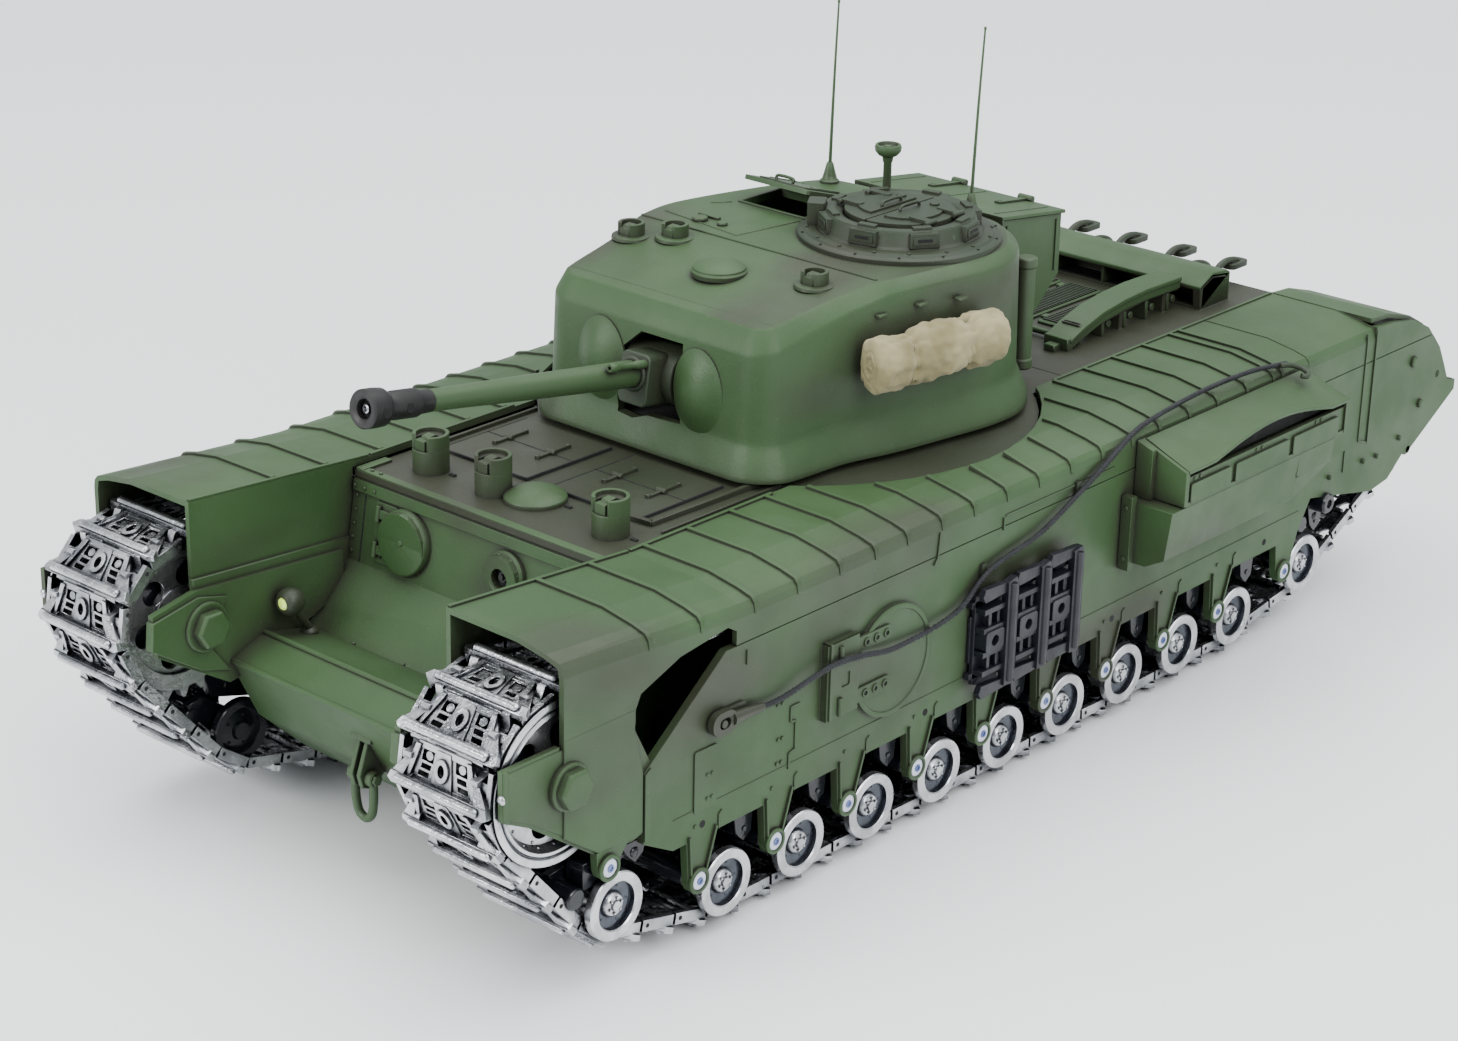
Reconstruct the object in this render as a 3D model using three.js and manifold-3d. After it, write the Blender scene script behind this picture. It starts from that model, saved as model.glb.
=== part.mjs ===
// 1/16-scale radio-controlled heavy tank, modelled as separate bench-stripped pieces.
// Units are millimetres, +Z is up, the bow faces -Y and the tank's left side is +X.
// Inside this file, y is counted from the second road wheel's axle; the last group moves the
// origin to the middle of the tank's length, on the ground.

import * as THREE from 'three';
import { mergeVertices } from 'three/addons/utils/BufferGeometryUtils.js';
import Module from 'manifold-3d';

const wasm = await Module();
wasm.setup();

// ---------------------------------------------------------------- driving dimensions

const MIDDLE_Y = 140;              // half way between the front of the tracks and the tail
const GAP = 0.3;                   // clearance kept between neighbouring pieces

const HULL_HALF = 49;              // inner pannier walls
const SIDE_HALF = 90;              // outer side plates
const HULL_WALL = 2;
const PLATE = 2.4;                 // side plate thickness
const FLOOR_Z = 15;
const DECK_Z = [91.6, 93.4];       // roof plates of the hull
const PLATE_TOP_Z = 81.7;          // where the side plate meets the track guard

const WHEEL_PITCH = 30;
const WHEEL_R = 9.5;
const WHEEL_Z = 14;
const WHEELS = [[-41.7, 23.7]];    // axle of each road wheel, [y, z], front to rear
for (let i = 0; i < 9; i += 1) {
  WHEELS.push([i * WHEEL_PITCH, WHEEL_Z]);
}
WHEELS.push([279.5, 20.1]);

const IDLER = [-60, 64.5];         // idler axle, [y, z]
const SPROCKET = [328.5, 60.5];    // drive sprocket axle, [y, z]
const TRACK_BED_R = 22.6;          // inside of the track on the idler and the sprocket
const TRACK_THICKNESS = 4.2;
const TRACK_X = [52.5, 87.2];
const TOOTH_COUNT = 24;
const TOOTH_ROOT_R = 21.8;
const TOOTH_TIP_R = 24.6;
const TOOTH_ROWS = [[56.5, 60], [80, 83.5]];
const AXLE_R = 2;
const SHACKLE_PIN = [-46, 31];     // pin of the bow tow shackle, [y, z]

const RING = [0, 125];             // turret ring centre, [x, y]
const RING_CUT_R = 75;             // round cut-out of the track guards beside the turret
const RING_HOLE_R = 43;
const TURRET_Z = 95.3;             // lower edge of the turret's skirt
const ROOF_Z = 144;
const ROOF_BREAK_Y = 110;          // weld where the turret roof starts to slope forward
const ROOF_SLOPE = 0.155;

const TRUNNION = [-1, 72, 115.4];
const GUN_ELEVATION = THREE.MathUtils.degToRad(8.8);
const CUPOLA = [21.5, 148];        // centre of the cupola, [x, y]
const BIN = { half: 28, front: 189.4, rear: 220, frontTop: 141, rearTop: 137 };
const TARP_AT = [53.6, 95.5, 124]; // front end of the left tarpaulin roll
const TARP_LENGTH = 51;
const TARP_LEAN = 0.17;            // the turret wall widens towards the rear
const ANTENNA_HEIGHT = 57;         // above the turret roof
const HEADLIGHT = [-42.2, -33.5, 64.9];
const HEADLIGHT_FOOT = [-43.2, -26.4, 54.1];

// ---------------------------------------------------------------- solids from three.js shapes

const PLANE = {
  x: new THREE.Matrix4().set(0, 0, 1, 0, 1, 0, 0, 0, 0, 1, 0, 0, 0, 0, 0, 1),
  y: new THREE.Matrix4().set(1, 0, 0, 0, 0, 0, -1, 0, 0, 1, 0, 0, 0, 0, 0, 1),
  z: new THREE.Matrix4(),
};

function signedVolume(position, index) {
  const a = new THREE.Vector3();
  const b = new THREE.Vector3();
  const c = new THREE.Vector3();
  let volume = 0;
  for (let i = 0; i < index.length; i += 3) {
    a.fromBufferAttribute(position, index[i]);
    b.fromBufferAttribute(position, index[i + 1]);
    c.fromBufferAttribute(position, index[i + 2]);
    volume += a.dot(b.cross(c)) / 6;
  }
  return volume;
}

// Welds a closed geometry and returns it as a solid whose faces point out.
function solid(geometry) {
  const bare = geometry.clone();
  bare.deleteAttribute('normal');
  bare.deleteAttribute('uv');
  const welded = mergeVertices(bare, 1e-4);
  const triangles = [];
  const index = welded.index.array;
  for (let i = 0; i < index.length; i += 3) {
    const [a, b, c] = [index[i], index[i + 1], index[i + 2]];
    if (a !== b && b !== c && c !== a) {
      triangles.push(a, b, c);
    }
  }
  if (signedVolume(welded.attributes.position, triangles) < 0) {
    triangles.reverse();
  }
  return new wasm.Manifold(new wasm.Mesh({
    numProp: 3,
    vertProperties: new Float32Array(welded.attributes.position.array),
    triVerts: new Uint32Array(triangles),
  }));
}

function geometryOf(body) {
  const mesh = body.getMesh();
  const geometry = new THREE.BufferGeometry();
  geometry.setAttribute('position', new THREE.BufferAttribute(new Float32Array(mesh.vertProperties), 3));
  geometry.setIndex(new THREE.BufferAttribute(new Uint32Array(mesh.triVerts), 1));
  return geometry;
}

function join(...bodies) {
  return bodies.reduce((whole, body) => whole.add(body));
}

function cut(body, ...tools) {
  return tools.reduce((rest, tool) => rest.subtract(tool), body);
}

function box([x0, x1], [y0, y1], [z0, z1]) {
  const geometry = new THREE.BoxGeometry(x1 - x0, y1 - y0, z1 - z0);
  geometry.translate((x0 + x1) / 2, (y0 + y1) / 2, (z0 + z1) / 2);
  return solid(geometry);
}

// Extrudes an outline along an axis. Outlines are [y, z] for x, [x, z] for y and [x, y] for z.
function prismGeometry(axis, outline, [from, to]) {
  const shape = new THREE.Shape(outline.map(([u, v]) => new THREE.Vector2(u, v)));
  const geometry = new THREE.ExtrudeGeometry(shape, { depth: to - from, bevelEnabled: false });
  geometry.applyMatrix4(PLANE[axis]);
  const start = axis === 'y' ? to : from;
  geometry.translate(axis === 'x' ? start : 0, axis === 'y' ? start : 0, axis === 'z' ? start : 0);
  return geometry;
}

function prism(axis, outline, range) {
  return solid(prismGeometry(axis, outline, range));
}

function arc([u, v], radius, fromDegrees, toDegrees, steps) {
  const points = [];
  const sweep = toDegrees - fromDegrees;
  for (let i = 0; i <= steps; i += 1) {
    const angle = THREE.MathUtils.degToRad(fromDegrees + sweep * (i / Math.max(1, steps)));
    points.push([u + radius * Math.cos(angle), v + radius * Math.sin(angle)]);
  }
  return points;
}

function circle(centre, radius, sides) {
  return arc(centre, radius, 0, 360 - 360 / sides, sides - 1);
}

function rod(axis, centre, radius, range, sides = 16) {
  return prism(axis, circle(centre, radius, sides), range);
}

// Turns a [radius, height] profile about an axis through the given point.
function turned(axis, [x, y, z], profile, sides) {
  const geometry = new THREE.LatheGeometry(profile.map(([r, t]) => new THREE.Vector2(r, t)), sides);
  if (axis === 'x') {
    geometry.rotateZ(-Math.PI / 2);
  } else if (axis === 'z') {
    geometry.rotateX(Math.PI / 2);
  }
  geometry.translate(x, y, z);
  return solid(geometry);
}

function capTriangles(ring, corners) {
  const outline = corners.map((i) => new THREE.Vector2(ring[i][0], ring[i][1]));
  return THREE.ShapeUtils.triangulateShape(outline, []).map((face) => face.map((i) => corners[i]));
}

// Closed skin through rings of points, each ring a list of [x, y, z] in the same order. The end
// caps fold along the line between the two fold points, given as places in the ring.
function lofted(rings, fold = [0, 0]) {
  const count = rings[0].length;
  const positions = rings.flat(2);
  const index = [];
  for (let r = 0; r + 1 < rings.length; r += 1) {
    for (let i = 0; i < count; i += 1) {
      const a = r * count + i;
      const b = r * count + ((i + 1) % count);
      index.push(a, b, b + count, a, b + count, a + count);
    }
  }
  const places = [...Array(count).keys()];
  const behind = places.slice(fold[0], fold[1] + 1);
  const ahead = [...places.slice(fold[1]), ...places.slice(0, fold[0] + 1)];
  const cap = [behind, ahead]
    .filter((corners) => corners.length > 2)
    .flatMap((corners) => capTriangles(rings[0], [...new Set(corners)]));
  const last = (rings.length - 1) * count;
  for (const [a, b, c] of cap) {
    index.push(c, b, a, last + a, last + b, last + c);
  }
  const geometry = new THREE.BufferGeometry();
  geometry.setAttribute('position', new THREE.Float32BufferAttribute(positions, 3));
  geometry.setIndex(index);
  return solid(geometry);
}

// A round bar along a smooth curve through the points.
function bar(points, radius, steps, sides = 8) {
  const path = new THREE.CatmullRomCurve3(points.map((p) => new THREE.Vector3(...p)));
  const outline = circle([0, 0], radius, sides).map(([u, v]) => new THREE.Vector2(u, v));
  const section = new THREE.Shape(outline);
  return solid(new THREE.ExtrudeGeometry(section, { steps, bevelEnabled: false, extrudePath: path }));
}

function moved(body, matrix) {
  return solid(geometryOf(body).applyMatrix4(matrix));
}

const MIRROR = new THREE.Matrix4().makeScale(-1, 1, 1);

// Outline of a belt pulled tight round pulleys, each [y, z, radius], listed counterclockwise.
function beltOutline(pulleys, offset) {
  const tangent = pulleys.map(([y, z, r], i) => {
    const [nextY, nextZ, nextR] = pulleys[(i + 1) % pulleys.length];
    const distance = Math.hypot(nextY - y, nextZ - z);
    return Math.atan2(nextZ - z, nextY - y) - Math.PI / 2 + Math.asin((r - nextR) / distance);
  });
  const outline = [];
  pulleys.forEach(([y, z, r], i) => {
    const start = tangent[(i + pulleys.length - 1) % pulleys.length];
    let sweep = tangent[i] - start;
    while (sweep < 0) {
      sweep += 2 * Math.PI;
    }
    const from = THREE.MathUtils.radToDeg(start);
    const to = from + THREE.MathUtils.radToDeg(sweep);
    outline.push(...arc([y, z], r + offset, from, to, Math.max(1, Math.ceil((to - from) / 15))));
  });
  return outline;
}

// ---------------------------------------------------------------- hull

function hullTub() {
  const outside = [
    [-3, 91.3], [-7, 68], [-22, 52], [-39, 56], [-51, 51.5], [-41, 31], [-24, FLOOR_Z],
    [318, FLOOR_Z], [343, 44], [343, 64], [317.6, 91.3],
  ];
  const inside = [
    [-0.6, 95], [-4.6, 67.4], [-20.8, 49.8], [-38.6, 53.8], [-48.2, 50.2], [-39.2, 32],
    [-23.2, FLOOR_Z + 2], [317.1, FLOOR_Z + 2], [341, 44.7], [341, 63.2], [314, 95],
  ];
  const horn = [
    [-45, 46], [-10, 60], [-10, 71.6], [-62.2, 75.2], [-77.1, 72.2], [-76, 60], [-52, 45],
  ];
  const inner = HULL_HALF - HULL_WALL;
  const shell = cut(
    prism('x', outside, [-HULL_HALF, HULL_HALF]),
    prism('x', inside, [-inner, inner]),
  );
  const horns = [-1, 1].map((side) => {
    const range = side > 0 ? [inner, HULL_HALF] : [-HULL_HALF, -inner];
    const pin = side > 0 ? [HULL_HALF - 5, HULL_HALF] : [-HULL_HALF, 5 - HULL_HALF];
    return join(prism('x', horn, range), rod('x', IDLER, 5, pin, 6));
  });
  const visorDoor = rod('y', [-26, 78.5], 9, [-7.8, -3.5], 16);
  const gunMount = rod('y', [13, 80], 6.5, [-8, -3.5], 12);
  const gunHole = rod('y', [13, 80], 3, [-9, 0], 12);
  const towLugs = [-2, 0.8].map((x) => prism('x', [
    [-45, 44], [-49, 32], [-47.4, 28], [-43.6, 28], [-39.4, 31.4], [-40, 38],
  ], [x, x + 1.2]));
  const pinBore = rod('x', SHACKLE_PIN, 1.6, [-3, 3], 10);
  return cut(join(shell, ...horns, visorDoor, gunMount, ...towLugs), gunHole, pinBore);
}

function periscopeStand(x, y) {
  const stand = rod('z', [x, y], 4.4, [DECK_Z[0], 103.4], 10);
  const well = box([x - 2.6, x + 2.6], [y - 5, y + 1.6], [99, 105]);
  return cut(stand, well);
}

function hullRoof() {
  const floor = join(
    box([-48.8, 48.8], [-3.2, 200], DECK_Z),
    rod('z', RING, RING_CUT_R - 0.5, DECK_Z, 48),
  );
  const race = rod('z', RING, RING_HOLE_R + 4, [DECK_Z[0], 94.6], 32);
  const ventProfile = [[0, 0], [7.4, 0], [7.4, 1.4], [5, 2.6], [0, 3.2]];
  const vent = turned('z', [3, 16, DECK_Z[1] - 0.5], ventProfile, 14);
  const leaves = [];
  for (const [x0, x1] of [[-42.5, -8.5], [0.5, 34]]) {
    for (const [y0, y1] of [[24, 42], [42.6, 58]]) {
      leaves.push(box([x0, x1], [y0, y1], [DECK_Z[0], DECK_Z[1] + 0.8]));
    }
  }
  const stands = [periscopeStand(-33.5, 11.5), periscopeStand(-9, 11.8), periscopeStand(34.8, 12.4)];
  const whole = join(floor, race, vent, ...leaves, ...stands);
  return cut(whole, rod('z', RING, RING_HOLE_R, [90, 96], 32));
}

function engineDeck() {
  const floor = prism('z', [[-48.8, 200.4], [48.8, 200.4], [48.8, 317.4], [-48.8, 317.4]], DECK_Z);
  const clearance = rod('z', RING, RING_CUT_R, [90, 95], 48);
  const cowl = prism('x', [[284, 92], [300, 92], [300, 103], [290, 104.4], [283, 101]], [-40, 40]);
  const cowlMouth = box([-37, 37], [281, 294], [94, 100]);
  const ducts = [-1, 1].map((side) => {
    const x = side * 29;
    const roof = [
      [222, 97], [238, 101.5], [262, 103.6], [281, 103], [281, 99.5], [262, 100], [238, 98], [222, 94.5],
    ];
    const beam = prism('x', roof, [x - 4, x + 4]);
    const legs = [228, 250, 274].map((y) => box([x - 3.4, x + 3.4], [y - 1, y + 1], [92, 100]));
    return join(beam, ...legs);
  });
  return join(cut(join(floor, cowl), cowlMouth, clearance), ...ducts);
}

function sidePlate() {
  const outer = [SIDE_HALF - PLATE, SIDE_HALF];
  const plate = prism('x', [
    [-33, 38], [-22, 32], [272, 32], [279, 43], [300, 38.5], [317, 34.8], [327.5, 36.2], [337.5, 44],
    [352, 55], [361.5, 62.9], [358.2, 68.9], [354, 76], [348.5, PLATE_TOP_Z], [-2.9, PLATE_TOP_Z],
    [-33, 57.9],
  ], outer);
  const horn = prism('x', [
    [-10, 45], [-36, 40], [-49, 40.7], [-73, 57.7], [-81.5, 62], [-81.5, 75.5], [-62.2, 75.5],
    [-62.2, 71.4], [-36, 71.4], [-30, 60], [-10, 60],
  ], [SIDE_HALF - PLATE, SIDE_HALF - 0.8]);
  const lugs = WHEELS.slice(1, 10).map(([y]) => {
    const boss = [y - 12.5, 20];
    return join(
      prism('x', [[boss[0] - 4.5, 34], [boss[0] - 3.4, 20], [boss[0] + 3.4, 20], [boss[0] + 8, 34]], outer),
      rod('x', boss, 3.6, [SIDE_HALF - PLATE, SIDE_HALF + 0.4], 8),
    );
  });
  const endLugs = [
    join(
      prism('x', [[-50, 42], [-49.6, 36.8], [-42.4, 36.8], [-38, 42]], outer),
      rod('x', [-46, 36.8], 3.6, outer, 10),
    ),
    join(
      prism('x', [[260, 34], [261.7, 22.1], [268.9, 22.1], [273, 34]], outer),
      rod('x', [265.3, 22.1], 3.6, [SIDE_HALF - PLATE, SIDE_HALF + 0.4], 10),
    ),
  ];
  const hornNut = rod('x', IDLER, 5, [88, 92.6], 6);
  const hatch = rod('x', [64, 57.5], 16.2, [88, 91.2], 24);
  const hatchHinge = box([88, 92], [35, 48], [49, 71]);
  const brace = [[336, 42.6], [338, 41.8], [366.8, 58], [366.8, 61.5], [360, 62.5]];
  const tailBrace = prism('x', brace, outer);
  return join(plate, horn, ...lugs, ...endLugs, hornNut, hatch, hatchHinge, tailBrace);
}

// Section of the track guard from its inner edge over the top and down the outer side, [x, z].
function guardSection(innerFoot, outerFoot) {
  const section = [
    [49.4, 95.5], [74, 95.3], [84, 93.6], [88.4, 92.4], [89.6, 91], [90, 89], [90, outerFoot],
    [88.4, outerFoot], [88.4, 88.5], [87.9, 91], [83.6, 92.3], [73.8, 93.8],
  ];
  if (innerFoot) {
    return [...section, [50.9, 93.9], [50.9, innerFoot], [49.4, innerFoot]];
  }
  return [...section, [49.4, 94]];
}

function trackGuard() {
  const frontY = -61.5;
  const jointY = 3;
  const rise = 0.07;
  const main = prism('y', guardSection(0, PLATE_TOP_Z + GAP), [jointY, 312]);
  const front = prismGeometry('y', guardSection(73, 70), [frontY, jointY]);
  const shear = new THREE.Matrix4();
  shear.set(1, 0, 0, 0, 0, 1, 0, 0, 0, -rise, 1, rise * jointY, 0, 0, 0, 1);
  front.applyMatrix4(shear);
  const belowFront = prism('x', [
    [-70, 60], [-70, 72], [-36.3, 72], [-36.3, 76.7], [-34.4, 80.5], [-20, 85.8], [-2.4, 88], [1, 86],
    [1, 82], [10, 82], [10, 60],
  ], [80, 95]);
  const belowInner = prism('x', [[-70, 60], [-70, 75.8], [10, 72], [10, 60]], [45, 60]);
  const innerRear = prism('x', [[-3.5, 60], [-3.5, 94], [10, 94], [10, 60]], [45, 51]);
  const tailOuter = [[311, 95.4], [322, 94.6], [335.8, 90.6], [345, 85.8], [352, 79.5], [357.6, 70]];
  const tailInner = [[356.2, 69.2], [350.8, 78.6], [344, 84.6], [335.2, 89.1], [321.9, 93.1], [311, 93.9]];
  const tail = prism('x', [...tailOuter, ...tailInner], [49.4, TRACK_X[1] + GAP]);
  const tailCheek = prism('x', [
    [311, PLATE_TOP_Z + GAP], [348, PLATE_TOP_Z + GAP], [345, 85], [335.8, 89.4], [322, 92], [311, 93],
  ], [TRACK_X[1] + GAP, SIDE_HALF]);
  const ringCut = rod('z', RING, RING_CUT_R + GAP, [91, 99], 48);
  const whole = join(main, cut(solid(front), belowFront, belowInner, innerRear), tail, tailCheek);
  return cut(whole, ringCut);
}

function airLouvre() {
  const upper = prism('y', [[90.4, 90.6], [107, 84], [106.4, 73], [90.4, 73]], [179.5, 268]);
  const hood = prism('x', [
    [186, 83], [210, 87], [233, 88.8], [252, 86.8], [267, 83],
  ], [92, 107]);
  const mouth = prism('x', [
    [190, 83.5], [210, 86], [233, 87.6], [252, 85.8], [263, 83.5],
  ], [99, 108]);
  const duct = [[90.4, 73.5], [106, 72.2], [104.6, 57], [98, 53.6], [90.4, 53.6]];
  const lower = prism('y', duct, [172.5, 262]);
  const lowerSlant = prism('x', [[240, 50], [263, 62], [263, 50]], [89, 110]);
  return cut(join(upper, hood, lower), mouth, lowerSlant);
}

// ---------------------------------------------------------------- running gear

function suspension() {
  const girder = [[-50, 40], [-47, 34], [-30, 27], [282, 27], [292, 36], [288, 40], [-30, 38]];
  const rail = prism('x', girder, [64, 77]);
  const arms = WHEELS.map(([y, z]) => prism('x', [
    [y - 5, 33], [y - 4.4, z - 2], [y - 2, z - 4.4], [y + 2, z - 4.4], [y + 4.4, z - 2], [y + 5, 33],
  ], [66, 75]));
  const beams = [18, 108, 198, 268].map((y) => box(
    [HULL_HALF + GAP, SIDE_HALF - PLATE - GAP],
    [y - 4, y + 4],
    [34, 44],
  ));
  const bores = WHEELS.map(([y, z]) => rod('x', [y, z], AXLE_R + GAP + 0.1, [60, 80], 8));
  return cut(join(rail, ...arms, ...beams), ...bores);
}

function track() {
  const pulleys = [
    [...IDLER, TRACK_BED_R],
    ...[0, 1, 9, 10].map((i) => [...WHEELS[i], WHEEL_R + GAP]),
    [...SPROCKET, TRACK_BED_R],
  ];
  const band = prism('x', beltOutline(pulleys, TRACK_THICKNESS), TRACK_X);
  const inside = prism('x', beltOutline(pulleys, 0), [40, 100]);
  const bed = beltOutline(pulleys, 2.6);
  const grooves = TOOTH_ROWS.map(([from, to]) => prism('x', bed, [from - 0.6, to + 0.6]));
  return cut(band, inside, ...grooves);
}

function roadWheel([y, z]) {
  return turned('x', [0, y, z], [
    [0, 55.5], [WHEEL_R, 55.5], [WHEEL_R, 61], [AXLE_R, 61], [AXLE_R, 80.6], [WHEEL_R, 80.6],
    [WHEEL_R, 89.4], [0, 89.4],
  ], 8);
}

function toothedWheel([y, z], hubFrom, hubTo) {
  const outline = [];
  for (let i = 0; i < TOOTH_COUNT; i += 1) {
    const at = (360 / TOOTH_COUNT) * i;
    outline.push(...arc([y, z], TOOTH_TIP_R, at - 1.1, at + 1.1, 1));
    outline.push(...arc([y, z], TOOTH_ROOT_R, at + 7.5, at + 7.5, 0));
  }
  const discs = TOOTH_ROWS.map((range) => prism('x', outline, range));
  const drum = rod('x', [y, z], 12, [TOOTH_ROWS[0][0] + 1, TOOTH_ROWS[1][1] - 1], 10);
  const hub = rod('x', [y, z], 4, [hubFrom, hubTo], 8);
  return join(...discs, drum, hub);
}

function towShackle() {
  const [y, z] = SHACKLE_PIN;
  const bow = bar([
    [-3.4, y, z + 1], [-3.4, y, z - 4], [-3.2, y, z - 8.6], [-2.2, y, z - 11.6], [0, y, z - 12.8],
    [2.2, y, z - 11.6], [3.2, y, z - 8.6], [3.4, y, z - 4], [3.4, y, z + 1],
  ], 1, 14, 6);
  const pin = rod('x', SHACKLE_PIN, 1.2, [-5, 5], 8);
  return join(bow, pin);
}

// ---------------------------------------------------------------- turret

const WALL_FOOT = [
  [0, 64], [22, 64], [34, 64], [39, 65.6], [42.5, 69], [44, 74], [45.6, 93], [50, 110], [53.5, 130],
  [56, 148], [54.5, 162], [46, 175], [34, 184], [16, 186], [0, 186], [-16, 186], [-32, 184], [-40, 174],
  [-46, 157], [-51, 138], [-53, 124], [-51, 110], [-46.4, 93], [-44, 74], [-42.5, 69], [-39, 65.6],
  [-34, 64], [-22, 64],
];

const ROOF_FOLD = [7, 21];         // the points of WALL_FOOT at the roof's weld

function roofHeight(y) {
  return ROOF_Z - Math.max(0, ROOF_BREAK_Y - y) * ROOF_SLOPE;
}

function bevelHeight(y) {
  const forward = THREE.MathUtils.clamp((ROOF_BREAK_Y - y) / 46, 0, 1);
  return roofHeight(y) - 3 - 3 * forward;
}

// Moves every point of the wall's plan out by a distance, along the corner's bisector.
function planOffset(distance) {
  return WALL_FOOT.map((point, i) => {
    const count = WALL_FOOT.length;
    const before = new THREE.Vector2(...WALL_FOOT[(i + count - 1) % count]);
    const here = new THREE.Vector2(...point);
    const after = new THREE.Vector2(...WALL_FOOT[(i + 1) % count]);
    const a = here.clone().sub(before).normalize();
    const b = after.clone().sub(here).normalize();
    const normal = new THREE.Vector2(a.y + b.y, -a.x - b.x).normalize();
    const stretch = distance / Math.max(0.6, normal.x * a.y - normal.y * a.x);
    return [here.x + normal.x * stretch, here.y + normal.y * stretch];
  });
}

function turretRing(distance, height) {
  return planOffset(distance).map(([x, y]) => [x, y, typeof height === 'number' ? height : height(y)]);
}

function turretShell() {
  const outside = lofted([
    turretRing(3.8, TURRET_Z), turretRing(3.4, 97.6), turretRing(1.5, 100.6), turretRing(0, 104.5),
    turretRing(-1, bevelHeight), turretRing(-2.2, (y) => (roofHeight(y) + bevelHeight(y)) / 2 + 0.5),
    turretRing(-4.6, roofHeight),
  ], ROOF_FOLD);
  const inside = lofted([
    turretRing(1, TURRET_Z - 2), turretRing(-2, 104.5), turretRing(-3, (y) => bevelHeight(y) - 1),
    turretRing(-6.6, (y) => roofHeight(y) - 2.4),
  ], ROOF_FOLD);
  const cheeks = [[18.5, 115.5], [-18.5, 116.5]].map(([x, z]) => {
    const dome = new THREE.SphereGeometry(1, 12, 8);
    dome.scale(8.6, 4.4, 12.4);
    dome.translate(x, 64.8, z);
    return solid(dome);
  });
  const aperture = prism('y', [
    [-3.5, 128.5], [12.3, 128.5], [12.3, 105], [0, 104.5], [-5, 102.7], [-11, 103.2], [-12.6, 109.4],
    [-12.6, 120.8],
  ], [55, 69]);
  const loaderHole = box([-34, -9.5], [141.5, 159.5], [138, 150]);
  const cupolaHole = rod('z', CUPOLA, 14, [138, 150], 24);
  const cupolaSeat = rod('z', CUPOLA, 30.4, [ROOF_Z, 150], 28);
  const vent = turned('z', [2, 91, 140], [[0, 0], [6.4, 0], [6.4, 1.6], [4.4, 3], [0, 3.6]], 14);
  const sights = [[31, 98.5], [-26, 102.8], [-38, 97]];
  const scopes = sights.map(([x, y]) => rod('z', [x, y], 3.6, [140, 145.6], 10));
  const shellSkin = join(cut(outside, cupolaSeat), vent, ...scopes, ...cheeks);
  const tube = rod('z', [42.3, 183.4], 2.8, [99.5, 134], 12);
  const tubeBracket = box([36, 42], [180, 183], [112, 118]);
  return cut(join(cut(shellSkin, inside), tube, tubeBracket), aperture, loaderHole, cupolaHole);
}

function gunFrame() {
  const [x, y, z] = TRUNNION;
  const raised = new THREE.Matrix4().makeRotationX(-GUN_ELEVATION);
  return new THREE.Matrix4().makeTranslation(x, y, z).multiply(raised);
}

// The gun's own pieces are drawn level with the trunnion at the origin, then raised.
function mantlet() {
  const block = prism('y', [
    [-3.4, -8.2], [5, -8.2], [6, -7], [6, 5.4], [5, 6.8], [-3.4, 6.8], [-4.6, 5.4], [-4.6, -7],
  ], [-13.8, 0]);
  const cradle = rod('x', [0, 0], 8.4, [-9.6, 9.6], 20);
  const trunnions = rod('x', [0, 0], 2.2, [-11.4, 11.4], 12);
  const coax = rod('y', [4.2, 3.4], 1.2, [-28, 0], 10);
  const bore = rod('y', [0, 0.6], 4.3, [-20, 12], 18);
  return moved(cut(join(block, cradle, trunnions, coax), bore), gunFrame());
}

function gunBarrel() {
  const profile = [
    [0, -116], [2.4, -116], [2.4, -115], [4.2, -115.2], [5.2, -114], [5.2, -109], [3.6, -107.6],
    [3.9, -106], [3.9, -99], [3, -96], [3.1, -80], [3.9, -16], [3.9, 14], [0, 14],
  ];
  const barrel = turned('y', [0, 0, 0.6], profile, 20);
  return moved(barrel, gunFrame());
}

function cupolaRing() {
  return turned('z', [...CUPOLA, 0], [
    [14.2, ROOF_Z + GAP], [30, ROOF_Z + GAP], [30, 145.8], [28.6, 146.6], [24, 146.6], [22.4, 147.2],
    [21.6, 152], [18, 152], [16.6, 151], [16.6, 149.4], [14.2, 149.4], [14.2, ROOF_Z + GAP],
  ], 24);
}

function cupolaLeaf(side) {
  const half = side > 0 ? arc(CUPOLA, 16.2, -90, 90, 16) : arc(CUPOLA, 16.2, 90, 270, 16);
  const shifted = half.map(([x, y]) => [x + side * 0.25, y]);
  return prism('z', shifted, [149.8, 152.4]);
}

function loaderHatch() {
  const lid = box([-34.8, -9], [-20, 0], [0, 1.6]);
  const grip = box([-25, -18], [-17, -15], [1, 2.6]);
  const raised = new THREE.Matrix4().makeTranslation(0, 161.5, 145).multiply(
    new THREE.Matrix4().makeRotationX(THREE.MathUtils.degToRad(-17)),
  );
  return moved(join(lid, grip), raised);
}

function turretBin() {
  const section = [
    [BIN.front, 106], [BIN.front, BIN.frontTop], [BIN.rear, BIN.rearTop], [BIN.rear, 118],
    [209.4, 108.5], [200, 106],
  ];
  const inside = [
    [BIN.front + 1.4, 107.4], [BIN.front + 1.4, 145], [BIN.rear - 1.4, 145], [BIN.rear - 1.4, 118.6],
    [208.9, 109.9], [199.6, 107.4],
  ];
  const can = cut(
    prism('x', section, [-BIN.half, BIN.half]),
    prism('x', inside, [1.4 - BIN.half, BIN.half - 1.4]),
  );
  const brackets = [-18, 18].map((x) => box([x - 3, x + 3], [187, 190], [112, 124]));
  return join(can, ...brackets);
}

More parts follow.
